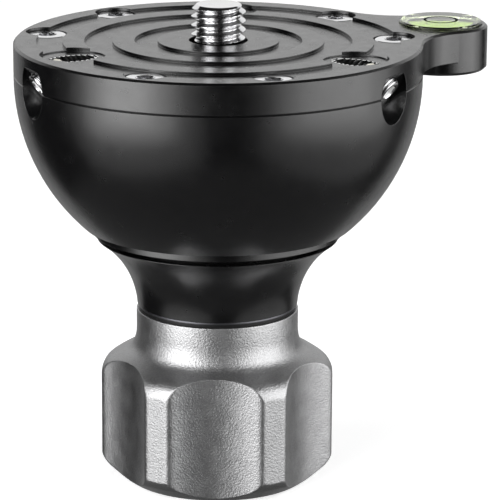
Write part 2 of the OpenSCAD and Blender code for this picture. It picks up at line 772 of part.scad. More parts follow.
module set_screw(i) {
    body_l = set_l - set_tip_l;
    chamfer = 0.35;
    color("#d2d4d8") on_set_axis(i) translate([0, 0, set_start + set_tip_l]) difference() {
        chamfered_cylinder(set_d / 2, body_l, chamfer);
        translate([0, 0, -0.001]) cylinder(r = tip_stem_d / 2 + fit_gap, h = tip_stem_l + 0.1);
        translate([0, 0, body_l - set_socket_l]) hexagon_prism(set_hex, set_socket_l + over);
    }
}

module set_screw_tip(i) {
    edge = 0.5;
    color("#e6e2d6") on_set_axis(i) translate([0, 0, set_start]) union() {
        cylinder(r1 = tip_d / 2 - edge, r2 = tip_d / 2, h = edge);
        translate([0, 0, edge - 0.001]) cylinder(r = tip_d / 2, h = set_tip_l - edge - fit_gap);
        translate([0, 0, set_tip_l - fit_gap - 0.1]) cylinder(r = tip_stem_d / 2, h = tip_stem_l + 0.1);
    }
}

top_plate();
half_ball();
plate_screws();
mounting_screw();
screw_retainer();
retainer_screws();
vial_body();
vial_liquid();
vial_base();
vial_pad();
clamp_stud();
stud_washer();
stud_nut();
stop_washer();
stop_screw();
clamp_cup();
cup_liner();
thrust_washer();
knob();
knob_bush();
slip_washer();
retaining_ring();
bush_screws();
base_cap();
set_screw(0);  // set_screw_1
set_screw(1);  // set_screw_2
set_screw(2);  // set_screw_3
set_screw_tip(0);  // set_screw_tip_1
set_screw_tip(1);  // set_screw_tip_2
set_screw_tip(2);  // set_screw_tip_3
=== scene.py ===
"""Looks of a half-ball leveling base with a fluted clamp knob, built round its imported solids.

Sizes are in millimetres and become metres where a mesh is made. +Z is up. +X runs along the arm
of the bubble level. The origin is on the axis, in the plane of the lands under the camera head.
"""

import json
import logging
import math
from dataclasses import dataclass, field
from enum import Enum
from typing import Callable, Iterable, Sequence

import bmesh
import bpy
from mathutils import Euler, Matrix, Vector

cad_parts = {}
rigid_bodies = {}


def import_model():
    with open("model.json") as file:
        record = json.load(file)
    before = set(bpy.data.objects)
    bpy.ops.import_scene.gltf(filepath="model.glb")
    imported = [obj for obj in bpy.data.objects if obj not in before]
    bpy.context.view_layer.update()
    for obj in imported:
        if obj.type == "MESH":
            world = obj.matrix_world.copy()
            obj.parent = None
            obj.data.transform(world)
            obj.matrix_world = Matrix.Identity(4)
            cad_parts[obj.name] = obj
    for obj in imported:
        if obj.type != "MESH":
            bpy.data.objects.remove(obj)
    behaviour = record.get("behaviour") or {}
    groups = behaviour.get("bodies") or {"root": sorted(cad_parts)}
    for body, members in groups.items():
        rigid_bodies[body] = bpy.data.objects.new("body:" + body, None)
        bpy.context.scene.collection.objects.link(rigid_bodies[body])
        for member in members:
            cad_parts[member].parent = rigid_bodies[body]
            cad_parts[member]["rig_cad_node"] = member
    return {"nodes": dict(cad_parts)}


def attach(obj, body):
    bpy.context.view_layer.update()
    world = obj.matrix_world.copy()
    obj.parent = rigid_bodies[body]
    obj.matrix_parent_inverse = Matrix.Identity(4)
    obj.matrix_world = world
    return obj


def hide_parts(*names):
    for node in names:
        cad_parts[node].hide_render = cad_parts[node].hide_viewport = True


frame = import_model()

LOG = logging.getLogger("leveling_base")
MM = 0.001
TAU = 2 * math.pi
# masks a lighter colour along edges: partly rubbed edges, partly a painted edge highlight
EDGE_WEAR_AND_GLINT = "Edge wear"
BEVEL_RAYS = 6
COARSE, FINE = 48, 96  # faces round a small and a usual turned piece
MERGE, DOUBLE, ON_PLANE = 2e-6, 1e-7, 1e-8  # metres under which points are one
JUST_UNDER = 1e-5  # metres by which a cut stays under a face
CREST_FLAT = 0.1  # share of half a pitch that is flat at a thread's crest
ROOT_SHARE = 0.9  # share at which its root starts, less the crest's flat
THREAD_STEPS = 22  # points on a pitch
EDGE_TURN = (0.01, 0.14)  # how far the normal turns at an edge
EDGE_TINT_NOISE = (0.38, 0.62)  # between these the noise breaks up the lighter edge colour, in part a painted edge highlight
BROAD_SHARE = 0.4  # of the broad unevenness in a shade, beside the fine grain
BLACK = (0.0012, 0.0012, 0.0014)
Point2 = tuple[float, float]
Colour = tuple[float, float, float]


class Body(Enum):
    """The rigid bodies that the pieces ride on."""

    BASE = "base"
    CUP = "cup"
    KNOB = "knob_unit"
    SCREW_1 = "screw_1"
    SCREW_2 = "screw_2"
    SCREW_3 = "screw_3"


class Grain(Enum):
    """The shader groups that give a surface its grain."""

    BLASTED = "Blast grain"
    TURNED = "Turning marks"


class Slot(Enum):
    """The record's material slots, one named for each new piece."""

    PLATE = "plate_black"
    STAINLESS = "stainless"
    ZINC = "zinc_steel"
    KNOB = "knob_silver"
    RING = "black_polymer"


# Fields: arithmetic on the float sockets of a node tree


class Field:
    """A float socket of a node tree, on which plain arithmetic adds Math nodes."""

    def __init__(self, tree: bpy.types.NodeTree, socket: bpy.types.NodeSocket) -> None:
        """Wraps one output socket.

        Args:
            tree: The tree that holds the socket.
            socket: The output socket.
        """
        self.tree = tree
        self.socket = socket

    def math(self, operation: str, *others: "Field | float") -> "Field":
        """Adds one Math node with this field as its first input.

        Args:
            operation: The name of the operation.
            others: The further inputs, fields or numbers.

        Returns:
            The node's result.
        """
        node = self.tree.nodes.new("ShaderNodeMath")
        node.operation = operation
        for slot, value in zip(node.inputs, (self, *others)):
            if isinstance(value, Field):
                self.tree.links.new(value.socket, slot)
            else:
                slot.default_value = value
        return Field(self.tree, node.outputs[0])

    def __add__(self, other: "Field | float") -> "Field":
        """Sum."""
        return self.math("ADD", other)

    def __sub__(self, other: "Field | float") -> "Field":
        """Difference."""
        return self.math("SUBTRACT", other)

    def __mul__(self, other: "Field | float") -> "Field":
        """Product."""
        return self.math("MULTIPLY", other)

    def __truediv__(self, other: "Field | float") -> "Field":
        """Quotient."""
        return self.math("DIVIDE", other)

    def least(self, other: "Field | float") -> "Field":
        """The smaller of the two."""
        return self.math("MINIMUM", other)

    def most(self, other: "Field | float") -> "Field":
        """The larger of the two."""
        return self.math("MAXIMUM", other)

    def soft_least(self, other: "Field | float", width: "Field | float") -> "Field":
        """The smaller of the two, rounded where they are nearly equal."""
        return self.math("SMOOTH_MIN", other, width)

    def between(self, low: float, high: float) -> "Field":
        """Goes smoothly from 0 at one value to 1 at another.

        Args:
            low: The value that gives 0.
            high: The value that gives 1.

        Returns:
            The share between them.
        """
        node = self.tree.nodes.new("ShaderNodeMapRange")
        node.interpolation_type = "SMOOTHSTEP"
        self.tree.links.new(self.socket, node.inputs["Value"])
        node.inputs["From Min"].default_value = low
        node.inputs["From Max"].default_value = high
        return Field(self.tree, node.outputs["Result"])


# Geometry Nodes


class Tree:
    """A Geometry Nodes tree under construction, with named inputs."""

    def __init__(self, name: str) -> None:
        """Starts a tree that takes and gives one geometry.

        Args:
            name: The tree's name.
        """
        self.tree = bpy.data.node_groups.new(name, "GeometryNodeTree")
        self.tree.interface.new_socket("Geometry", in_out="INPUT", socket_type="NodeSocketGeometry")
        self.tree.interface.new_socket("Geometry", in_out="OUTPUT",
                                       socket_type="NodeSocketGeometry")
        self.source = self.tree.nodes.new("NodeGroupInput")
        self.sink = self.tree.nodes.new("NodeGroupOutput")

    def number(self, name: str, default: float) -> Field:
        """Adds a float input and returns it as a field."""
        socket = self.tree.interface.new_socket(name, in_out="INPUT", socket_type="NodeSocketFloat")
        socket.default_value = default
        return Field(self.tree, self.source.outputs[name])

    def count(self, name: str, default: int) -> bpy.types.NodeSocket:
        """Adds a whole-number input and returns its socket."""
        socket = self.tree.interface.new_socket(name, in_out="INPUT", socket_type="NodeSocketInt")
        socket.default_value = default
        return self.source.outputs[name]

    def node(self, kind: str, **inputs: object) -> bpy.types.Node:
        """Adds a node and feeds its inputs.

        Args:
            kind: The node's type.
            inputs: Input names, with underscores for spaces, and a socket, field or value each.

        Returns:
            The node.
        """
        node = self.tree.nodes.new(kind)
        for name, value in inputs.items():
            slot = node.inputs[name.replace("_", " ")]
            if isinstance(value, Field):
                self.tree.links.new(value.socket, slot)
            elif isinstance(value, bpy.types.NodeSocket):
                self.tree.links.new(value, slot)
            else:
                slot.default_value = value
        return node

    def finish(self, geometry: bpy.types.NodeSocket) -> bpy.types.NodeTree:
        """Ends the tree in Realize Instances and Set Material.

        Args:
            geometry: The socket with the finished geometry.

        Returns:
            The finished tree.
        """
        self.tree.interface.new_socket("Finish", in_out="INPUT", socket_type="NodeSocketMaterial")
        real = self.node("GeometryNodeRealizeInstances", Geometry=geometry)
        dressed = self.node("GeometryNodeSetMaterial", Geometry=real.outputs[0],
                            Material=self.source.outputs["Finish"])
        self.tree.links.new(dressed.outputs[0], self.sink.inputs[0])
        return self.tree


class TurningTree(Tree):
    """Turns a profile round the Z axis, and cuts a thread or flutes into it where asked to."""

    def __init__(self, name: str) -> None:
        """Lays out the grid whose rows follow the profile and whose columns go round the axis.

        Args:
            name: The tree's name.
        """
        super().__init__(name)
        profile = self.source.outputs["Geometry"]
        segments = Field(self.tree, self.count("Segments", FINE))
        rows = self.node("GeometryNodeAttributeDomainSize", Geometry=profile).outputs["Point Count"]
        grid = self.node("GeometryNodeMeshGrid", Size_X=1.0, Size_Y=1.0, Vertices_X=segments + 1.0,
                         Vertices_Y=rows)
        self.grid = grid.outputs["Mesh"]
        place = self.tree.nodes.new("GeometryNodeInputPosition").outputs[0]
        here = self.node("ShaderNodeSeparateXYZ", Vector=place)
        self.angle = (Field(self.tree, here.outputs[0]) + 0.5) * TAU
        down, count = Field(self.tree, here.outputs[1]), Field(self.tree, rows)
        row = ((down + 0.5) * (count - 1.0)).math("ROUND")
        sample = self.tree.nodes.new("GeometryNodeSampleIndex")
        sample.data_type = "FLOAT_VECTOR"
        self.tree.links.new(profile, sample.inputs["Geometry"])
        self.tree.links.new(place, sample.inputs["Value"])
        self.tree.links.new(row.socket, sample.inputs["Index"])
        point = self.node("ShaderNodeSeparateXYZ", Vector=sample.outputs["Value"])
        self.radius = Field(self.tree, point.outputs[0])
        self.height = Field(self.tree, point.outputs[2])

    def cut_thread(self) -> None:
        """Cuts a right-hand thread between two heights, no deeper than its root."""
        pitch = self.number("Pitch", 1.0)
        crest = self.number("Crest radius", 5.0)
        depth = self.number("Thread depth", 0.5)
        low, high = self.number("Thread low", 0.0), self.number("Thread high", 5.0)
        phase = self.number("Phase", 0.0)
        flat = self.number("Crest flat", 0.06)
        reach = self.number("Widest radius cut", 1.0)
        turns = (self.height / pitch - self.angle / TAU + phase).math("FRACT")
        slope = (turns - 0.5).math("ABSOLUTE") * 2.0
        root = ((slope - flat) / (flat * -2.0 + ROOT_SHARE)).most(0.0).least(1.0)
        inside = self.height.math("GREATER_THAN", low) * self.height.math("LESS_THAN", high)
        inside = inside * self.radius.math("LESS_THAN", reach)
        limit = crest - root * depth + (inside * -1.0 + 1.0)
        self.radius = self.radius.least(limit)

    def cut_flutes(self) -> None:
        """Cuts upright hollow flutes with flats between, and rounds the edges where they meet."""
        flutes = self.number("Flutes", 6.0)
        hollow = self.number("Hollow radius", 0.06)
        least = self.number("Least radius", 0.018)
        turn = self.number("Turn", 0.0)
        flat = self.number("Flat distance", 0.0207)
        edge = self.number("Edge rounding", 0.0003)
        crease = self.number("Crease rounding", 0.00005)
        pitch = flutes.math("POWER", -1.0) * TAU
        turned = (self.angle - turn) / pitch
        aside = ((turned + 0.5).math("FRACT") - 0.5) * pitch
        from_flat = (turned.math("FRACT") - 0.5) * pitch
        centre = least + hollow
        across = centre * aside.math("SINE")
        along = centre * aside.math("COSINE")
        wall = along - (hollow * hollow - across * across).math("SQRT")
        section = wall.soft_least(flat / from_flat.math("COSINE"), edge)
        self.radius = self.radius.soft_least(section, crease)

    def finish_turning(self) -> bpy.types.NodeTree:
        """Puts the grid's points in their places and closes the seam and the poles.

        Returns:
            The finished tree.
        """
        across = self.radius * self.angle.math("COSINE")
        along = self.radius * self.angle.math("SINE")
        place = self.node("ShaderNodeCombineXYZ", X=across, Y=along, Z=self.height)
        turned = self.node("GeometryNodeSetPosition", Geometry=self.grid, Position=place.outputs[0])
        closed = self.node("GeometryNodeMergeByDistance", Geometry=turned.outputs[0],
                           Distance=MERGE)
        return self.finish(closed.outputs[0])


def plain_turning_tree() -> bpy.types.NodeTree:
    """The tree of a plain turned piece."""
    return TurningTree("Turned piece").finish_turning()


def threaded_turning_tree() -> bpy.types.NodeTree:
    """The tree of a turned piece with a thread."""
    tree = TurningTree("Threaded piece")
    tree.cut_thread()
    return tree.finish_turning()


def fluted_turning_tree() -> bpy.types.NodeTree:
    """The tree of the fluted knob."""
    tree = TurningTree("Fluted piece")
    tree.cut_flutes()
    return tree.finish_turning()


def paired_circle_tree() -> bpy.types.NodeTree:
    """The tree that puts one screw at each of six places, in three pairs on a circle."""
    tree = Tree("Pairs on a circle")
    radius = tree.number("Circle radius", 0.031)
    spread = tree.number("Spread", math.radians(20))
    turn = tree.number("Turn", 0.0)
    seed = tree.count("Seed", 7)
    points = tree.node("GeometryNodePoints", Count=6)
    index = Field(tree.tree, tree.tree.nodes.new("GeometryNodeInputIndex").outputs[0])
    pair = (index / 2.0).math("FLOOR")
    side = (index.math("MODULO", 2.0)) * 2.0 - 1.0
    angle = turn + pair * (TAU / 3) + side * spread
    place = tree.node("ShaderNodeCombineXYZ", X=radius * angle.math("COSINE"),
                      Y=radius * angle.math("SINE"), Z=0.0)
    placed = tree.node("GeometryNodeSetPosition", Geometry=points.outputs[0],
                       Position=place.outputs[0])
    spin = tree.tree.nodes.new("FunctionNodeRandomValue")
    spin.data_type = "FLOAT"
    low, high = [s for s in spin.inputs if s.type == "VALUE" and s.enabled][:2]
    low.default_value, high.default_value = 0.0, math.radians(60)
    tree.tree.links.new(seed, spin.inputs["Seed"])
    spun = [s for s in spin.outputs if s.enabled][0]
    turned = tree.node("ShaderNodeCombineXYZ", X=0.0, Y=0.0, Z=spun)
    screws = tree.node("GeometryNodeInstanceOnPoints", Points=placed.outputs[0],
                       Instance=tree.source.outputs["Geometry"], Rotation=turned.outputs[0])
    return tree.finish(screws.outputs[0])


# Meshes


def link(name: str, mesh: bpy.types.Mesh) -> bpy.types.Object:
    """Puts a mesh into the scene.

    Args:
        name: The object's name.
        mesh: The mesh.

    Returns:
        The object, at the origin.
    """
    piece = bpy.data.objects.new(name, mesh)
    bpy.context.scene.collection.objects.link(piece)
    return piece


def run_tree(piece: bpy.types.Object, tree: bpy.types.NodeTree,
             inputs: dict[str, object]) -> bpy.types.Object:
    """Runs a Geometry Nodes tree on a piece and keeps the result as its plain mesh.

    Args:
        piece: The object whose mesh goes in.
        tree: The tree.
        inputs: The values of the tree's named inputs.

    Returns:
        The same object, with its new mesh and no modifier.
    """
    modifier = piece.modifiers.new("shape", "NODES")
    modifier.node_group = tree
    for item in tree.interface.items_tree:
        if item.item_type == "SOCKET" and item.in_out == "INPUT" and item.name in inputs:
            modifier[item.identifier] = inputs[item.name]
    graph = bpy.context.evaluated_depsgraph_get()
    graph.update()
    made = bpy.data.meshes.new_from_object(piece.evaluated_get(graph))
    piece.modifiers.clear()
    old = piece.data
    piece.data = made
    made.name = piece.name
    bpy.data.meshes.remove(old)
    return piece


def tidy(piece: bpy.types.Object, crease: float = 32.0) -> bpy.types.Object:
    """Turns all faces outwards, shades them smooth and keeps edges above an angle crisp.

    Args:
        piece: The object.
        crease: The angle in degrees.

    Returns:
        The same object.
    """
    shape = bmesh.new()
    shape.from_mesh(piece.data)
    bmesh.ops.remove_doubles(shape, verts=shape.verts, dist=DOUBLE)
    bmesh.ops.dissolve_degenerate(shape, edges=shape.edges, dist=DOUBLE)
    bmesh.ops.recalc_face_normals(shape, faces=shape.faces)
    shape.to_mesh(piece.data)
    shape.free()
    for face in piece.data.polygons:
        face.use_smooth = True
    piece.data.set_sharp_from_angle(angle=math.radians(crease))
    return piece


def profile_mesh(name: str, points: Iterable[Point2]) -> bpy.types.Mesh:
    """A line of vertices in the XZ plane, in metres.

    Args:
        name: The mesh's name.
        points: Points of radius and height, in millimetres.

    Returns:
        The mesh.
    """
    mesh = bpy.data.meshes.new(name)
    places = [(r * MM, 0.0, z * MM) for r, z in points]
    mesh.from_pydata(places, [(i, i + 1) for i in range(len(places) - 1)], [])
    return mesh


def rounded(corners: Sequence[tuple[float, ...]], steps: int = 5) -> list[Point2]:
    """Rounds the corners of a profile.

    Args:
        corners: (radius, height) or (radius, height, rounding) in millimetres, in order.
        steps: The number of faces round a corner.

    Returns:
        The points of the rounded profile.
    """
    points: list[Point2] = []
    for i, corner in enumerate(corners):
        here = Vector(corner[:2])
        rounding = corner[2] if len(corner) > 2 else 0.0
        if not rounding or i in (0, len(corners) - 1):
            points.append((here.x, here.y))
            continue
        before = Vector(corners[i - 1][:2]) - here
        after = Vector(corners[i + 1][:2]) - here
        half = before.angle(after) / 2
        back = min(rounding / math.tan(half), before.length * 0.48, after.length * 0.48)
        reach = back * math.tan(half)
        start, end = here + before.normalized() * back, here + after.normalized() * back
        inward = (before.normalized() + after.normalized()).normalized()
        centre = here + inward * math.hypot(reach, back)
        for k in range(steps + 1):
            spot = (start - centre).lerp(end - centre, k / steps)
            spot = centre + spot.normalized() * reach
            points.append((spot.x, spot.y))
    return points


def dense(points: Sequence[Point2], step: float) -> list[Point2]:
    """Adds points to a profile until none are further apart than a step.

    Args:
        points: The profile.
        step: The widest gap, in millimetres.

    Returns:
        The denser profile.
    """
    made = [points[0]]
    for start, end in zip(points, points[1:]):
        length = math.dist(start, end)
        parts = max(1, math.ceil(length / step))
        for k in range(1, parts + 1):
            made.append((start[0] + (end[0] - start[0]) * k / parts,
                         start[1] + (end[1] - start[1]) * k / parts))
    return made


def hexagon_prism(width: float, low: float, high: float, edge: float = 0.0) -> bmesh.types.BMesh:
    """An upright six-sided prism with a sloped edge at both ends, in millimetres.

    Args:
        width: The width across the flats.
        low: The height of its foot.
        high: The height of its top.
        edge: The width of the sloped edges.

    Returns:
        The prism's mesh, which the caller frees.
    """
    shape = bmesh.new()
    corner = width / 2 / math.cos(math.radians(30))
    levels = [(low, corner - edge), (low + edge, corner), (high - edge, corner),
              (high, corner - edge)]
    if edge == 0.0:
        levels = [levels[0], levels[-1]]
    rings = [[shape.verts.new((radius * math.cos(k * TAU / 6), radius * math.sin(k * TAU / 6),
                               height))
              for k in range(6)] for height, radius in levels]
    for below, above in zip(rings, rings[1:]):
        for k in range(6):
            shape.faces.new((below[k], below[(k + 1) % 6], above[(k + 1) % 6], above[k]))
    shape.faces.new(list(reversed(rings[0])))
    shape.faces.new(rings[-1])
    return shape


def to_object(name: str, shape: bmesh.types.BMesh, scale: float = MM) -> bpy.types.Object:
    """Makes an object from a mesh under construction, and frees that.

    Args:
        name: The object's name.
        shape: The mesh.
        scale: The length of its unit in metres.

    Returns:
        The object.
    """
    bmesh.ops.scale(shape, vec=(scale, scale, scale), verts=shape.verts)
    mesh = bpy.data.meshes.new(name)
    shape.to_mesh(mesh)
    shape.free()
    return link(name, mesh)


def carve(piece: bpy.types.Object, tool: bpy.types.Object) -> bpy.types.Object:
    """Cuts one mesh with another, applies the result and deletes the tool.

    Args:
        piece: The object that is cut.
        tool: The object that cuts.

    Returns:
        The cut object.
    """
    modifier = piece.modifiers.new("cut", "BOOLEAN")
    modifier.operation = "DIFFERENCE"
    modifier.solver = "EXACT"
    modifier.object = tool
    graph = bpy.context.evaluated_depsgraph_get()
    graph.update()
    made = bpy.data.meshes.new_from_object(piece.evaluated_get(graph))
    piece.modifiers.clear()
    piece.data = made
    bpy.data.objects.remove(tool)
    return piece


def moved(piece: bpy.types.Object, place: Matrix) -> bpy.types.Object:
    """Moves the piece's mesh, and leaves its object at the origin."""
    piece.data.transform(place)
    piece.data.update()
    return piece


def joined(name: str, pieces: Sequence[bpy.types.Object]) -> bpy.types.Object:
    """Makes one object out of several, whose meshes keep their places.

    Args:
        name: The new object's name.
        pieces: The objects, of which the first gives the materials. They are deleted.

    Returns:
        The new object.
    """
    shape = bmesh.new()
    for piece in pieces:
        shape.from_mesh(piece.data)
    materials = list(pieces[0].data.materials)
    mesh = bpy.data.meshes.new(name)
    shape.to_mesh(mesh)
    shape.free()
    for material in materials:
        mesh.materials.append(material)
    for piece in pieces:
        bpy.data.objects.remove(piece)
    return link(name, mesh)


# Shader groups


class Effect:
    """A shader node group under construction."""

    def __init__(self, name: str, inputs: dict[str, float], outputs: Sequence[str]) -> None:
        """Starts a group.

        Args:
            name: The group's name.
            inputs: The names of its float inputs, with their usual values.
            outputs: The names of its float outputs.
        """
        self.tree = bpy.data.node_groups.new(name, "ShaderNodeTree")
        for label, value in inputs.items():
            socket = self.tree.interface.new_socket(label, in_out="INPUT",
                                                    socket_type="NodeSocketFloat")
            socket.default_value = value
        for label in outputs:
            self.tree.interface.new_socket(label, in_out="OUTPUT", socket_type="NodeSocketFloat")
        self.source = self.tree.nodes.new("NodeGroupInput")
        self.sink = self.tree.nodes.new("NodeGroupOutput")
        self.place = self.tree.nodes.new("ShaderNodeTexCoord").outputs["Object"]

    def given(self, name: str) -> Field:
        """One of the group's inputs."""
        return Field(self.tree, self.source.outputs[name])

    def noise(self, scale: Field, detail: float = 2.0,
              vector: bpy.types.NodeSocket | None = None) -> Field:
        """A noise over the object's own coordinates.

        Args:
            scale: Its fineness.
            detail: Its number of finer layers.
            vector: Other coordinates, where it follows them.

        Returns:
            The noise.
        """
        node = self.tree.nodes.new("ShaderNodeTexNoise")
        self.tree.links.new(vector or self.place, node.inputs["Vector"])
        self.tree.links.new(scale.socket, node.inputs["Scale"])
        node.inputs["Detail"].default_value = detail
        return Field(self.tree, node.outputs["Fac"])

    def give(self, **results: Field) -> bpy.types.NodeTree:
        """Connects the results to the group's outputs and returns the group."""
        for name, value in results.items():
            self.tree.links.new(value.socket, self.sink.inputs[name])
        return self.tree


def blast_grain_group() -> bpy.types.NodeTree:
    """Fine pits of a bead-blasted surface: a height and a slight unevenness of gloss."""
    effect = Effect(Grain.BLASTED.value, {"Grain": 4000.0, "Unevenness": 400.0},
                    ["Height", "Gloss"])
    pits = effect.noise(effect.given("Grain"), 3.0)
    gloss = effect.noise(effect.given("Unevenness"), 2.0)
    return effect.give(Height=pits, Gloss=gloss)


def turning_marks_group() -> bpy.types.NodeTree:
    """Fine rings that a lathe leaves, by radius and height: a height and a gloss."""
    effect = Effect(Grain.TURNED.value, {"Rings": 9000.0, "Unevenness": 300.0}, ["Height", "Gloss"])
    split = effect.tree.nodes.new("ShaderNodeSeparateXYZ")
    effect.tree.links.new(effect.place, split.inputs[0])
    x, y, z = (Field(effect.tree, split.outputs[k]) for k in range(3))
    radius = (x * x + y * y).math("SQRT")
    line = effect.tree.nodes.new("ShaderNodeCombineXYZ")
    effect.tree.links.new(radius.socket, line.inputs[0])
    effect.tree.links.new(z.socket, line.inputs[2])
    marks = effect.noise(effect.given("Rings"), 1.0, line.outputs[0])
    gloss = effect.noise(effect.given("Unevenness"), 2.0)
    return effect.give(Height=marks, Gloss=gloss)


def edge_wear_and_glint_group() -> bpy.types.NodeTree:
    """How near a point is to an edge, broken up by noise, from the rounded and the plain normal:
    the mask of a lighter edge colour that is partly rubbed edges, partly a painted edge highlight.
    """
    effect = Effect(EDGE_WEAR_AND_GLINT, {"Width": 0.00025, "Breaks": 900.0}, ["Mask"])
    bevel = effect.tree.nodes.new("ShaderNodeBevel")
    bevel.samples = 4
    effect.tree.links.new(effect.given("Width").socket, bevel.inputs["Radius"])
    plain = effect.tree.nodes.new("ShaderNodeNewGeometry").outputs["Normal"]
    dot = effect.tree.nodes.new("ShaderNodeVectorMath")
    dot.operation = "DOT_PRODUCT"
    effect.tree.links.new(bevel.outputs[0], dot.inputs[0])
    effect.tree.links.new(plain, dot.inputs[1])
    near = (Field(effect.tree, dot.outputs["Value"]) * -1.0 + 1.0).between(*EDGE_TURN)
    breaks = effect.noise(effect.given("Breaks"), 3.0).between(*EDGE_TINT_NOISE)
    return effect.give(Mask=near * breaks)


# Finishes


@dataclass(frozen=True)
class Finish:
    """A surface finish, with the material's own shader and the effects that feed it."""

    name: str
    colour: Colour
    metallic: float
    roughness: float
    effect: Grain = Grain.BLASTED
    grain: float = 4000.0
    pit_depth: float = 0.01
    gloss_change: float = 0.06
    shade_change: float = 0.1
    edge_round: float = 0.2
    # a lighter colour along the edges: partly rubbed edges, partly a painted edge highlight
    wear_and_glint: float = 0.0
    wear_and_glint_colour: Colour = (0.5, 0.5, 0.5)
    ior: float = 1.5
    specular: float = 0.5
    transmission: float = 0.0

    def build(self) -> bpy.types.Material:
        """Makes the material.

        Returns:
            The material, with its nodes.
        """
        material = bpy.data.materials.new(self.name)
        material.use_nodes = True
        tree = material.node_tree
        shader = tree.nodes["Principled BSDF"]
        shader.inputs["Metallic"].default_value = self.metallic
        shader.inputs["IOR"].default_value = self.ior
        shader.inputs["Specular IOR Level"].default_value = self.specular
        shader.inputs["Transmission Weight"].default_value = self.transmission
        effect = tree.nodes.new("ShaderNodeGroup")
        effect.node_tree = bpy.data.node_groups[self.effect.value]
        effect.inputs[0].default_value = self.grain
        height, gloss = Field(tree, effect.outputs["Height"]), Field(tree, effect.outputs["Gloss"])
        rough = (gloss - 0.5) * (2 * self.gloss_change) + self.roughness
        tree.links.new(rough.socket, shader.inputs["Roughness"])
        tree.links.new(self.shade(tree, gloss, height), shader.inputs["Base Color"])
        bump = tree.nodes.new("ShaderNodeBump")
        bump.inputs["Strength"].default_value = 1.0
        bump.inputs["Distance"].default_value = self.pit_depth * MM
        tree.links.new(height.socket, bump.inputs["Height"])
        if self.edge_round:
            bevel = tree.nodes.new("ShaderNodeBevel")
            bevel.samples = BEVEL_RAYS
            bevel.inputs["Radius"].default_value = self.edge_round * MM
            tree.links.new(bevel.outputs[0], bump.inputs["Normal"])
        tree.links.new(bump.outputs[0], shader.inputs["Normal"])
        return material

    def shade(self, tree: bpy.types.NodeTree, gloss: Field, height: Field) -> bpy.types.NodeSocket:
        """The colour, a little uneven, and lighter along the edges: partly rubbed edges, partly a
        painted edge highlight.

        Args:
            tree: The material's tree.
            gloss: The broad unevenness.
            height: The fine grain.

        Returns:
            The colour's socket.
        """
        uneven = tree.nodes.new("ShaderNodeMix")
        uneven.data_type = "RGBA"
        dark = tuple(c * (1 - self.shade_change) for c in self.colour)
        light = tuple(min(1.0, c * (1 + self.shade_change)) for c in self.colour)
        uneven.inputs[6].default_value = (*dark, 1)
        uneven.inputs[7].default_value = (*light, 1)
        tree.links.new((gloss * BROAD_SHARE + height * (1 - BROAD_SHARE)).socket, uneven.inputs[0])
        if not self.wear_and_glint:
            return uneven.outputs[2]
        # paints the edges lighter: partly rubbed edges, partly a painted edge highlight
        edge_tint_group = tree.nodes.new("ShaderNodeGroup")
        edge_tint_group.node_tree = bpy.data.node_groups[EDGE_WEAR_AND_GLINT]
        mask = Field(tree, edge_tint_group.outputs["Mask"]) * self.wear_and_glint
        edge_tint_mix = tree.nodes.new("ShaderNodeMix")
        edge_tint_mix.data_type = "RGBA"
        tree.links.new(mask.socket, edge_tint_mix.inputs[0])
        tree.links.new(uneven.outputs[2], edge_tint_mix.inputs[6])
        edge_tint_mix.inputs[7].default_value = (*self.wear_and_glint_colour, 1)
        return edge_tint_mix.outputs[2]


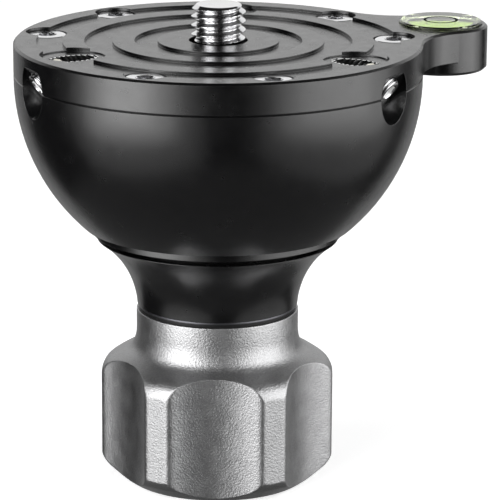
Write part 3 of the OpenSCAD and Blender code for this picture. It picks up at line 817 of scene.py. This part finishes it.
@dataclass
class Finishes:
    """All finishes of the object, built once."""

    plate: Finish = Finish("plate_blasted_black", BLACK, 0.0, 0.25, pit_depth=0.014, ior=1.65,
                           edge_round=0.18, wear_and_glint=0.06, wear_and_glint_colour=(0.08, 0.08, 0.08))
    ball: Finish = Finish("ball_satin_black", BLACK, 0.0, 0.25, pit_depth=0.012, ior=1.65,
                          edge_round=0.15)
    cup: Finish = Finish("cup_turned_black", BLACK, 0.0, 0.25, effect=Grain.TURNED, grain=9000.0,
                         pit_depth=0.003, ior=1.65, edge_round=0.15)
    # the knob's bright edge colour is a painted edge highlight
    knob: Finish = Finish("knob_blasted_silver", (0.33, 0.33, 0.334), 1.0, 0.38, grain=3200.0,
                          pit_depth=0.07, shade_change=0.45, edge_round=0.0, wear_and_glint=0.6,
                          wear_and_glint_colour=(0.85, 0.85, 0.85))
    steel: Finish = Finish("stainless_turned", (0.72, 0.72, 0.73), 1.0, 0.14, effect=Grain.TURNED,
                           grain=14000.0, pit_depth=0.0015, gloss_change=0.05, edge_round=0.05)
    zinc: Finish = Finish("zinc_plated", (0.6, 0.61, 0.64), 1.0, 0.3, grain=2500.0, pit_depth=0.004,
                          edge_round=0.1)
    spring: Finish = Finish("oiled_spring_steel", (0.12, 0.12, 0.13), 1.0, 0.35, grain=3000.0,
                            pit_depth=0.003)
    brass: Finish = Finish("turned_brass", (0.75, 0.55, 0.24), 1.0, 0.25, effect=Grain.TURNED,
                           grain=9000.0, pit_depth=0.002, edge_round=0.1)
    polymer: Finish = Finish("matt_black_polymer", (0.02, 0.02, 0.021), 0.0, 0.5, grain=3000.0,
                             pit_depth=0.006, edge_round=0.1)
    tip: Finish = Finish("pale_polymer", (0.72, 0.7, 0.62), 0.0, 0.45, grain=3000.0,
                         pit_depth=0.003)
    foam: Finish = Finish("adhesive_foam", (0.75, 0.75, 0.72), 0.0, 0.8, grain=2500.0,
                          pit_depth=0.03)
    clear: Finish = Finish("level_clear", (0.86, 0.97, 0.62), 0.0, 0.04, grain=900.0,
                           pit_depth=0.0003, gloss_change=0.01, shade_change=0.01, edge_round=0.15,
                           ior=1.49, transmission=1.0)
    liquid: Finish = Finish("level_liquid", (0.66, 0.84, 0.03), 0.0, 0.1, grain=300.0,
                            pit_depth=0.0002, gloss_change=0.02, shade_change=0.05, edge_round=0.0,
                            ior=1.4)
    plug: Finish = Finish("level_plug", (0.45, 0.80, 0.16), 0.0, 0.3, grain=900.0, pit_depth=0.001)
    print_black: Finish = Finish("printed_ring", (0.01, 0.014, 0.01), 0.0, 0.9, grain=3000.0,
                                 pit_depth=0.001, edge_round=0.0, specular=0.0)
    tapped: Finish = Finish("tapped_black", (0.002, 0.002, 0.002), 0.0, 0.5, pit_depth=0.004,
                            ior=1.35, edge_round=0.0)
    made: dict[str, bpy.types.Material] = field(default_factory=dict)

    def of(self, finish: Finish) -> bpy.types.Material:
        """The material of a finish, made on first use.

        Args:
            finish: The finish.

        Returns:
            Its material.
        """
        if finish.name not in self.made:
            self.made[finish.name] = finish.build()
        return self.made[finish.name]


# The object


@dataclass
class Workshop:
    """What all sub-assemblies share: the finishes and the trees."""

    finishes: Finishes
    turned: bpy.types.NodeTree
    threaded: bpy.types.NodeTree
    fluted: bpy.types.NodeTree
    paired: bpy.types.NodeTree

    def turn(self, name: str, profile: Sequence[Point2], finish: Finish,
             segments: int = 128) -> bpy.types.Object:
        """Turns a profile into a piece.

        Args:
            name: The piece's name.
            profile: Points of radius and height, in millimetres.
            finish: Its finish.
            segments: The number of faces round it.

        Returns:
            The piece.
        """
        piece = link(name, profile_mesh(name, profile))
        run_tree(piece, self.turned, {"Segments": segments, "Finish": self.finishes.of(finish)})
        return tidy(piece)

    def thread(self, name: str, profile: Sequence[Point2], finish: Finish, pitch: float,
               crest: float, depth: float, span: Point2, phase: float = 0.0, reach: float = 1000.0,
               segments: int = FINE) -> bpy.types.Object:
        """Turns a profile and cuts a thread into it.

        Args:
            name: The piece's name.
            profile: Points of radius and height, in millimetres.
            finish: Its finish.
            pitch: The thread's pitch.
            crest: The radius of its crests.
            depth: Its depth.
            span: Its lowest and highest height.
            phase: The share of a turn that it is shifted by.
            reach: Only what is nearer to the axis than this is cut.
            segments: The number of faces round it.

        Returns:
            The piece.
        """
        piece = link(name, profile_mesh(name, dense(profile, pitch / THREAD_STEPS)))
        run_tree(piece, self.threaded, {
            "Segments": segments, "Pitch": pitch * MM, "Crest radius": crest * MM,
            "Thread depth": depth * MM, "Thread low": span[0] * MM, "Thread high": span[1] * MM,
            "Phase": phase, "Crest flat": CREST_FLAT, "Widest radius cut": reach * MM,
            "Finish": self.finishes.of(finish),
        })
        return tidy(piece, crease=40.0)

    def dress(self, node: str, finish: Finish) -> None:
        """Gives a carried-over solid its finish."""
        solid = frame["nodes"][node]
        solid.data.materials.clear()
        solid.data.materials.append(self.finishes.of(finish))
        LOG.info("dressed %s with %s", node, finish.name)


def place(piece: bpy.types.Object, body: Body, slot: Slot, *nodes: str) -> bpy.types.Object:
    """Puts a finished piece on its body, in the place of the solids that it stands for.

    Args:
        piece: The piece.
        body: The body that it rides on.
        slot: The record's slot of its finish. Not used.
        nodes: The solids that it replaces.

    Returns:
        The piece.
    """
    if nodes:
        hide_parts(*nodes)
    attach(piece, body.value)
    LOG.info("made %s with %d faces, on %s", piece.name, len(piece.data.polygons), body.value)
    return piece


@dataclass
class TopPlate:
    """The black plate with its six screws, and what holds the mounting screw in it."""

    shop: Workshop
    screw_circle_r: float = 31.1
    screw_spread: float = 20.0
    pattern_turn: float = 5.5
    head_d: float = 7.0
    head_h: float = 2.4
    head_seat: float = -2.9
    socket: float = 3.0
    screw_l: float = 10.0
    screw_d: float = 4.0
    tip_edge: float = 0.3
    tip_round: float = 0.05
    head_round: float = 0.35
    socket_l: float = 1.32
    sink_r: float = 1.38
    sink_w: float = 0.5
    sink_over: float = 0.15
    sink_depth: float = 0.35
    seed: int = 11

    def build(self) -> None:
        """Makes the plate's screws and dresses the plate."""
        self.shop.dress("top_plate", self.shop.finishes.plate)
        self.screws()
        self.shop.dress("screw_retainer", self.shop.finishes.zinc)
        self.shop.dress("retainer_screws", self.shop.finishes.zinc)

    def one_screw(self) -> bpy.types.Object:
        """Makes a low-head socket screw that stands on the plate's counterbore, on the axis.

        Returns:
            The screw.
        """
        r, top, low = self.head_d / 2, self.head_seat + self.head_h, self.head_seat
        shank = self.screw_d / 2
        end, edge, soft = low - self.screw_l, self.tip_edge, self.tip_round
        profile = rounded([(0, end), (shank - edge, end, soft), (shank, end + edge, soft),
                           (shank, low), (r, low), (r, top, self.head_round), (0, top)])
        steel = self.shop.finishes.steel
        screw = self.shop.turn("screw", profile, steel, COARSE)
        tool = to_object("socket", hexagon_prism(self.socket, top - self.socket_l, top + 1))
        carve(screw, tool)
        sunk, over, foot_r = top - self.sink_depth, top + self.sink_over, self.sink_r
        cone = rounded([(0, sunk), (foot_r, sunk), (foot_r + self.sink_w, over), (0, over)])
        carve(screw, self.shop.turn("countersink", cone, steel, COARSE))
        return tidy(screw, crease=30.0)

    def screws(self) -> None:
        """Puts the six screws in their counterbores."""
        piece = self.one_screw()
        piece.name = "plate_screw_set"
        run_tree(piece, self.shop.paired, {
            "Circle radius": self.screw_circle_r * MM, "Spread": math.radians(self.screw_spread),
            "Turn": math.radians(self.pattern_turn), "Seed": self.seed,
            "Finish": self.shop.finishes.of(self.shop.finishes.steel),
        })
        tidy(piece, crease=30.0)
        place(piece, Body.BASE, Slot.STAINLESS, "plate_screws")


@dataclass
class MountingScrew:
    """The 3/8 inch screw in the middle of the plate, with its real thread."""

    shop: Workshop
    major_r: float = 4.7625
    pitch: float = 1.5875
    depth: float = 0.95
    top: float = 6.4
    tip_edge: float = 0.9
    tip_round: float = 0.08
    relief_r: float = 4.0625
    relief_h: float = 1.2
    relief_slope: float = 0.7
    relief_top: float = -0.1
    thread_low: float = 0.45
    overlap: float = 0.5
    segments: int = 128
    head_w: float = 14.3
    head_top: float = -4.2
    head_low: float = -9.2
    head_edge: float = 0.25
    phase: float = 0.25

    def build(self) -> None:
        """Makes the screw with its head."""
        r, neck, top, edge = self.major_r, self.relief_r, self.top, self.tip_edge
        sunk = self.head_top - self.overlap
        profile = rounded([(0, sunk), (r, sunk), (r, -self.relief_h - self.relief_slope),
                           (neck, -self.relief_h), (neck, self.relief_top), (r, self.thread_low),
                           (r, top - edge), (r - edge, top, self.tip_round), (0, top)])
        steel = self.shop.finishes.steel
        shank = self.shop.thread("mounting_screw_threaded", profile, steel, self.pitch, r,
                                 self.depth, (0.0, top), self.phase, segments=self.segments)
        prism = hexagon_prism(self.head_w, self.head_low, self.head_top, self.head_edge)
        head = to_object("head", prism)
        head.data.materials.append(self.shop.finishes.of(steel))
        tidy(head, crease=20.0)
        piece = tidy(joined("mounting_screw_threaded", [shank, head]), crease=40.0)
        place(piece, Body.BASE, Slot.STAINLESS, "mounting_screw")


@dataclass
class LockScrews:
    """The three slanted set screws, and the threads of their holes."""

    shop: Workshop
    mouth_r: float = 27.9
    mouth_z: float = -0.7
    tilt: float = 33.0
    pattern_turn: float = 5.5
    pitch: float = 0.8
    major_r: float = 2.46
    depth: float = 0.43
    bore_r: float = 2.56
    start: float = 3.23
    end: float = 8.03
    stem_r: float = 0.96
    stem_l: float = 1.65
    tip_edge: float = 0.5
    tip_h: float = 0.45
    tip_round: float = 0.05
    end_edge: float = 0.4
    end_round: float = 0.12
    runout: float = 0.1
    socket: float = 2.5
    socket_l: float = 2.1
    sink_w: float = 0.45
    sink_depth: float = 0.25
    sink_over: float = 0.2
    hole_low: float = -4.5
    hole_end: float = 7.27
    sleeve_t: float = 0.15
    cut_over: float = 0.05
    segments: int = 72

    def frame_of(self, index: int) -> Matrix:
        """The place of a screw's axis, whose +Z runs outward and down from the hole's mouth.

        Args:
            index: The screw's number, from 0.

        Returns:
            The axis as a matrix, in metres.
        """
        turn = Matrix.Rotation(math.radians(self.pattern_turn + 60 + 120 * index), 4, "Z")
        mouth = Matrix.Translation((self.mouth_r * MM, 0, self.mouth_z * MM))
        return turn @ mouth @ Matrix.Rotation(math.radians(90 + self.tilt), 4, "Y")

    def build(self) -> None:
        """Makes the three screws and the three threaded holes."""
        bodies = (Body.SCREW_1, Body.SCREW_2, Body.SCREW_3)
        for index, body in enumerate(bodies):
            screw = self.one_screw(f"set_screw_threaded_{index + 1}")
            moved(screw, self.frame_of(index))
            place(screw, body, Slot.STAINLESS, f"set_screw_{index + 1}")
            hole = self.one_hole(f"set_screw_hole_thread_{index + 1}", self.frame_of(index))
            place(hole, Body.BASE, Slot.PLATE)
            self.shop.dress(f"set_screw_tip_{index + 1}", self.shop.finishes.tip)

    def one_screw(self, name: str) -> bpy.types.Object:
        """Makes a set screw along its own axis, with the socket in its outer end.

        Args:
            name: The piece's name.

        Returns:
            The screw.
        """
        r, a, b = self.major_r, self.start, self.end
        stem, stem_end, edge = self.stem_r, a + self.stem_l, self.end_edge
        profile = rounded([(0, stem_end), (stem, stem_end), (stem, a),
                           (r - self.tip_edge, a, self.tip_round), (r, a + self.tip_h),
                           (r, b - edge), (r - edge, b, self.end_round), (0, b)])
        steel = self.shop.finishes.steel
        screw = self.shop.thread(name, profile, steel, self.pitch, r, self.depth,
                                 (a - 1, b + self.runout), segments=self.segments)
        tool = to_object("socket", hexagon_prism(self.socket, b - self.socket_l, b + 1))
        carve(screw, tool)
        sunk, over, foot_r = b - self.sink_depth, b + self.sink_over, self.socket / 2
        cone = [(0, sunk), (foot_r, sunk), (foot_r + self.sink_w, over), (0, over)]
        carve(screw, self.shop.turn("countersink", cone, steel, COARSE))
        return tidy(screw, crease=38.0)

    def one_hole(self, name: str, place_of: Matrix) -> bpy.types.Object:
        """Makes the thread inside a slanted hole, cut off level with the flat round its mouth.

        Args:
            name: The piece's name.
            place_of: The hole's axis.

        Returns:
            The thread, as a thin sleeve in the hole.
        """
        outer, low, end = self.bore_r + self.sleeve_t, self.hole_low, self.hole_end
        profile = [(outer, low), (self.bore_r, low), (self.bore_r, end), (outer, end), (outer, low)]
        sleeve = self.shop.thread(name, profile, self.shop.finishes.tapped, self.pitch, self.bore_r,
                                  self.depth, (low - 1, end + 1), reach=self.bore_r + self.cut_over,
                                  segments=self.segments)
        moved(sleeve, place_of)
        shape = bmesh.new()
        shape.from_mesh(sleeve.data)
        everything = list(shape.verts) + list(shape.edges) + list(shape.faces)
        level = self.mouth_z * MM - JUST_UNDER
        cut = bmesh.ops.bisect_plane(shape, geom=everything, dist=ON_PLANE, plane_co=(0, 0, level),
                                     plane_no=(0, 0, 1), clear_outer=True)
        rim = [e for e in cut["geom_cut"] if isinstance(e, bmesh.types.BMEdge)]
        bmesh.ops.triangle_fill(shape, use_beauty=True, edges=rim, normal=(0, 0, 1))
        shape.to_mesh(sleeve.data)
        shape.free()
        return tidy(sleeve, crease=40.0)


@dataclass
class BubbleLevel:
    """The round level in the end of the arm."""

    shop: Workshop
    centre_x: float = 42.8
    top: float = 0.6
    ring_d: float = 5.7
    ring_w: float = 0.45
    ring_rise: float = 0.015
    ring_sink: float = 0.05

    def build(self) -> None:
        """Makes the printed ring and dresses the level's pieces."""
        f = self.shop.finishes
        self.shop.dress("vial_body", f.clear)
        self.shop.dress("vial_liquid", f.liquid)
        self.shop.dress("vial_base", f.plug)
        self.shop.dress("vial_pad", f.foam)
        self.ring()

    def ring(self) -> None:
        """The circle printed on the level's top, in which the bubble stands."""
        r, w, z = self.ring_d / 2, self.ring_w / 2, self.top
        low, high = z - self.ring_sink, z + self.ring_rise
        profile = [(r - w, low), (r + w, low), (r + w, high), (r - w, high), (r - w, low)]
        piece = self.shop.turn("level_circle", profile, self.shop.finishes.print_black, FINE)
        moved(piece, Matrix.Translation((self.centre_x * MM, 0, 0)))
        place(piece, Body.BASE, Slot.RING)


@dataclass
class HalfBall:
    """The half ball with the clamp stud inside and under it."""

    shop: Workshop
    foot_z: float = -34.164
    stud_r: float = 6.0
    pitch: float = 1.75
    depth: float = 1.05
    stud_low: float = -72.064
    collar_r: float = 9.0
    collar_h: float = 3.5
    top_r: float = 5.0
    top_z: float = -17.164
    low_edge: float = 1.1
    low_round: float = 0.1
    collar_edge: float = 0.3
    collar_round: float = 0.05
    top_edge: float = 0.8
    runout: float = 0.4
    cut_over: float = 0.05

    def build(self) -> None:
        """Makes the stud and dresses the ball and the small pieces on the stud."""
        f = self.shop.finishes
        self.shop.dress("half_ball", f.ball)
        for node in ("stud_washer", "stud_nut", "stop_washer", "stop_screw"):
            self.shop.dress(node, f.zinc)
        self.stud()

    def stud(self) -> None:
        """The stud with its collar and its thread."""
        r, low, foot, top = self.stud_r, self.stud_low, self.foot_z, self.top_z
        collar_r, collar_top, edge = self.collar_r, foot + self.collar_h, self.collar_edge
        low_edge, top_edge, soft = self.low_edge, self.top_edge, self.collar_round
        profile = rounded([(0, low), (r - low_edge, low, self.low_round), (r, low + low_edge),
                           (r, foot), (collar_r - edge, foot, soft), (collar_r, foot + edge, soft),
                           (collar_r, collar_top), (self.top_r, collar_top),
                           (self.top_r, top - top_edge), (self.top_r - top_edge, top), (0, top)])
        piece = self.shop.thread("clamp_stud_threaded", profile, self.shop.finishes.zinc,
                                 self.pitch, r, self.depth, (low - 1, foot - self.runout),
                                 reach=r + self.cut_over)
        place(piece, Body.BASE, Slot.ZINC, "clamp_stud")


@dataclass
class Cup:
    """The flared cup under the ball."""

    shop: Workshop

    def build(self) -> None:
        """Dresses the cup and what sits in it."""
        f = self.shop.finishes
        self.shop.dress("clamp_cup", f.cup)
        self.shop.dress("cup_liner", f.polymer)
        self.shop.dress("thrust_washer", f.spring)


@dataclass
class Knob:
    """The fluted silver knob, with what it carries."""

    shop: Workshop
    top: float = -48.364
    height: float = 31.0
    radius: float = 20.95
    collar_r: float = 14.4
    collar_h: float = 3.45
    shoulder_h: float = 10.65
    hollow: float = 0.7
    round: float = 0.76
    bevel_w: float = 4.6
    bevel_h: float = 3.2
    foot_round: float = 3.95
    flutes: int = 6
    flute_r: float = 20.0
    flute_depth: float = 3.6
    flat_depth: float = 0.3
    flute_turn: float = 7.5
    bore_r: float = 13.4
    barrel_r: float = 9.15
    barrel_l: float = 6.0
    top_edge: float = 0.2
    bore_edge: float = 0.3
    upright_round: float = 1.3
    crease_round: float = 0.1
    segments: int = 480
    edge_parts: int = 6
    shoulder_parts: int = 72
    foot_parts: int = 16
    foot_step: float = 0.12

    def build(self) -> None:
        """Makes the knob and dresses what it carries."""
        f = self.shop.finishes
        piece = link("knob_fluted", profile_mesh("knob_fluted", self.profile()))
        run_tree(piece, self.shop.fluted, {
            "Segments": self.segments, "Flutes": float(self.flutes),
            "Hollow radius": self.flute_r * MM,
            "Least radius": (self.radius - self.flute_depth) * MM,
            "Turn": math.radians(self.flute_turn),
            "Flat distance": (self.radius - self.flat_depth) * MM,
            "Edge rounding": self.upright_round * MM, "Crease rounding": self.crease_round * MM,
            "Finish": f.of(f.knob),
        })
        tidy(piece, crease=50.0)
        place(piece, Body.KNOB, Slot.KNOB, "knob")
        self.shop.dress("knob_bush", f.brass)
        self.shop.dress("slip_washer", f.tapped)
        self.shop.dress("retaining_ring", f.spring)
        self.shop.dress("bush_screws", f.zinc)
        self.shop.dress("base_cap", f.polymer)

    def shoulder(self, parts: int) -> list[Point2]:
        """The curve from the collar to the body, as radius and height.

        Args:
            parts: The number of straight pieces in it.

        Returns:
            Its points, in millimetres.
        """
        start, end = self.collar_h, self.collar_h + self.shoulder_h
        guides = ((self.collar_r, start), (self.collar_r, start + self.hollow * self.shoulder_h),
                  (self.radius, end - self.round * self.shoulder_h), (self.radius, end))
        points = []
        for k in range(parts + 1):
            t = k / parts
            weights = ((1 - t) ** 3, 3 * (1 - t) ** 2 * t, 3 * (1 - t) * t ** 2, t ** 3)
            r = sum(w * g[0] for w, g in zip(weights, guides))
            d = sum(w * g[1] for w, g in zip(weights, guides))
            points.append((r, self.top - d))
        return points

    def profile(self) -> list[Point2]:
        """The knob's outline from its bore's top edge, round the outside and back up inside.

        Returns:
            Its points of radius and height, in millimetres.
        """
        foot = self.top - self.height
        flange_z = self.top - self.barrel_l
        head = rounded([(self.barrel_r, self.top), (self.collar_r, self.top, self.top_edge),
                        (self.collar_r, self.top - self.collar_h)], self.edge_parts)
        wall_top = (self.radius, self.top - self.collar_h - self.shoulder_h)
        foot_edge = (self.radius, foot + self.bevel_h, self.foot_round)
        bevel = rounded([wall_top, foot_edge, (self.radius - self.bevel_w, foot)], self.foot_parts)
        wall = dense(bevel[1:], self.foot_step)
        inside = [(self.bore_r + self.bore_edge, foot), (self.bore_r, foot + self.bore_edge),
                  (self.bore_r, flange_z), (self.barrel_r, flange_z), (self.barrel_r, self.top)]
        return head + self.shoulder(self.shoulder_parts)[1:] + wall + inside


# The studio


@dataclass(frozen=True)
class Lamp:
    """A soft box that looks at the object."""

    name: str
    azimuth: float
    elevation: float
    distance: float
    width: float
    height: float
    radiance: float

    def build(self, view_azimuth: float, aim: Vector) -> None:
        """Makes the lamp.

        Args:
            view_azimuth: The camera's azimuth in degrees, from which the lamp's is counted.
            aim: The point that it looks at.
        """
        around = math.radians(view_azimuth + self.azimuth - 90)
        up = math.radians(self.elevation)
        level = math.cos(up)
        away = Vector((math.cos(around) * level, math.sin(around) * level, math.sin(up)))
        data = bpy.data.lights.new(self.name, "AREA")
        data.shape = "RECTANGLE"
        data.size, data.size_y = self.width, self.height
        data.energy = self.radiance * math.pi * self.width * self.height
        lamp = bpy.data.objects.new(self.name, data)
        lamp.location = aim + away * self.distance
        lamp.rotation_euler = away.to_track_quat("Z", "Y").to_euler()
        bpy.context.scene.collection.objects.link(lamp)


@dataclass
class Studio:
    """The camera, the soft boxes, the floor and the white surroundings."""

    azimuth: float = -21.5
    elevation: float = 15.3
    distance: float = 584.0
    look_z: float = -38.03
    lens: float = 236.7
    shift_x: float = 0.0648
    roll: float = 0.2
    floor_z: float = -79.38
    tent_r: float = 1.6
    opening_half: float = 50.0
    opening_low: float = 2.0
    opening_high: float = 34.0
    sweep_half: float = 42.0
    table_edge: float = -38.0
    sensor: float = 36.0
    near: float = 0.01
    floor_r: float = 4.0
    floor_grain: float = 40.0
    floor_rough: float = 0.9
    floor_gloss: float = 0.1
    floor_shades: tuple[float, float] = (0.80, 0.83)
    floor_glow: float = 0.5
    tent_shades: tuple[float, float, float] = (0.02, 0.18, 0.6)
    fill: float = 0.25
    lamps: tuple[Lamp, ...] = (
        Lamp("left_core", -51, 16, 0.9, 0.5, 1.02, 3.1),
        Lamp("left_box", -50, 12, 0.9, 0.98, 1.3, 2.0),
        Lamp("left_skirt", -48, 4, 0.9, 1.5, 1.9, 0.5),
        Lamp("right_core", 69, 16, 0.9, 0.84, 1.02, 1.7),
        Lamp("right_box", 71, 12, 0.9, 1.5, 1.3, 1.2),
        Lamp("right_skirt", 72, 4, 0.9, 2.2, 1.9, 0.4),
    )

    def build(self) -> None:
        """Sets up everything round the object."""
        self.camera()
        aim = Vector((0, 0, self.look_z * MM))
        for lamp in self.lamps:
            lamp.build(self.azimuth, aim)
        self.floor()
        self.tent()
        self.world()
        bpy.context.scene.view_settings.view_transform = "Standard"

    def camera(self) -> None:
        """The camera at the photograph's viewing angle."""
        data = bpy.data.cameras.new("camera")
        data.sensor_width = self.sensor
        data.lens = self.lens
        data.shift_x = self.shift_x
        data.clip_start = self.near
        camera = bpy.data.objects.new("camera", data)
        tilt, around = math.radians(90 - self.elevation), math.radians(self.azimuth)
        turn = Euler((tilt, 0, around)).to_matrix().to_4x4()
        roll = Matrix.Rotation(math.radians(self.roll), 4, "Z")
        aim = Matrix.Translation((0, 0, self.look_z * MM))
        camera.matrix_world = aim @ turn @ Matrix.Translation((0, 0, self.distance * MM)) @ roll
        bpy.context.scene.collection.objects.link(camera)
        bpy.context.scene.camera = camera

    def floor(self) -> None:
        """A wide pale floor that is white to the camera and keeps the object's shadow."""
        shape = bmesh.new()
        bmesh.ops.create_circle(shape, cap_ends=True, segments=FINE, radius=self.floor_r)
        floor = to_object("floor", shape, 1.0)
        moved(floor, Matrix.Translation((0, 0, self.floor_z * MM)))
        material = bpy.data.materials.new("pale_floor")
        material.use_nodes = True
        tree = material.node_tree
        shader = tree.nodes["Principled BSDF"]
        noise = tree.nodes.new("ShaderNodeTexNoise")
        noise.inputs["Scale"].default_value = self.floor_grain
        ramp = tree.nodes.new("ShaderNodeMix")
        ramp.data_type = "RGBA"
        for socket, shade in zip((ramp.inputs[6], ramp.inputs[7]), self.floor_shades):
            socket.default_value = (shade, shade, shade, 1)
        tree.links.new(noise.outputs["Fac"], ramp.inputs[0])
        tree.links.new(ramp.outputs[2], shader.inputs["Base Color"])
        shader.inputs["Roughness"].default_value = self.floor_rough
        shader.inputs["Specular IOR Level"].default_value = self.floor_gloss
        glow = tree.nodes.new("ShaderNodeEmission")
        seen = self.seen(tree)
        tree.links.new((seen * self.floor_glow).socket, glow.inputs["Strength"])
        both = tree.nodes.new("ShaderNodeAddShader")
        tree.links.new(shader.outputs[0], both.inputs[0])
        tree.links.new(glow.outputs[0], both.inputs[1])
        tree.links.new(both.outputs[0], tree.nodes["Material Output"].inputs["Surface"])
        floor.data.materials.append(material)
        floor.visible_glossy = False
        floor.visible_shadow = False

    @staticmethod
    def seen(tree: bpy.types.NodeTree) -> Field:
        """Tells which rays show the surroundings: the camera's, gloss's and those through glass.

        Args:
            tree: The material's or the world's tree.

        Returns:
            1 for those rays and 0 for the rest.
        """
        path = tree.nodes.new("ShaderNodeLightPath")
        camera = Field(tree, path.outputs["Is Camera Ray"])
        glossy = Field(tree, path.outputs["Is Glossy Ray"])
        through = Field(tree, path.outputs["Is Transmission Ray"])
        return camera.most(glossy).most(through)

    def tent(self) -> None:
        """Hangs dark cloth round the set, over a grey table and pale sweep, seen only in gloss."""
        shape = bmesh.new()
        bmesh.ops.create_uvsphere(shape, u_segments=FINE, v_segments=64, radius=self.tent_r)
        behind = math.radians(self.azimuth + 90)
        opening = []
        for face in shape.faces:
            middle = face.calc_center_median()
            aside = math.degrees(math.atan2(middle.y, middle.x) - behind)
            aside = (aside + 180) % 360 - 180
            up = math.degrees(math.asin(middle.z / middle.length))
            if abs(aside) < self.opening_half and self.opening_low < up < self.opening_high:
                opening.append(face)
            elif up < self.table_edge:
                face.material_index = 1
            elif abs(aside) < self.sweep_half and up <= self.opening_low:
                face.material_index = 2
        bmesh.ops.delete(shape, geom=opening, context="FACES")
        tent = to_object("dark_cloths", shape, 1.0)
        for name, shade in zip(("dark_cloth", "grey_table", "pale_sweep"), self.tent_shades):
            material = bpy.data.materials.new(name)
            material.use_nodes = True
            shader = material.node_tree.nodes["Principled BSDF"]
            shader.inputs["Base Color"].default_value = (shade, shade, shade, 1)
            shader.inputs["Roughness"].default_value = 1.0
            shader.inputs["Specular IOR Level"].default_value = 0.0
            tent.data.materials.append(material)
        tent.visible_camera = False
        tent.visible_diffuse = False
        tent.visible_transmission = False
        tent.visible_shadow = False

    def world(self) -> None:
        """White surroundings where they are seen, and a plain soft light from all sides."""
        world = bpy.data.worlds.new("surroundings")
        bpy.context.scene.world = world
        world.use_nodes = True
        tree = world.node_tree
        back = tree.nodes["Background"]
        back.inputs["Color"].default_value = (1, 1, 1, 1)
        strength = self.seen(tree) * (1 - self.fill) + self.fill
        tree.links.new(strength.socket, back.inputs["Strength"])


def corners(box: Sequence[Vector]) -> list[list[float]]:
    """A box as plain lists of numbers."""
    return [list(corner) for corner in box]


def clear_startup() -> None:
    """Removes what Blender starts with and the frame did not bring."""
    for thing in list(bpy.data.objects):
        if "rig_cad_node" not in thing and not thing.name.startswith("body:"):
            bpy.data.objects.remove(thing)


def main() -> None:
    """Builds the whole object and the studio."""
    logging.basicConfig(level=logging.INFO, format="%(name)s: %(message)s")
    clear_startup()
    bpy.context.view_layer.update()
    blast_grain_group()
    turning_marks_group()
    edge_wear_and_glint_group()
    shop = Workshop(Finishes(), plain_turning_tree(), threaded_turning_tree(),
                    fluted_turning_tree(), paired_circle_tree())
    builders: Sequence[Callable[[], None]] = (
        TopPlate(shop).build, MountingScrew(shop).build, LockScrews(shop).build,
        BubbleLevel(shop).build, HalfBall(shop).build, Cup(shop).build, Knob(shop).build,
        Studio().build,
    )
    for build in builders:
        build()


if __name__ == "__main__":
    main()
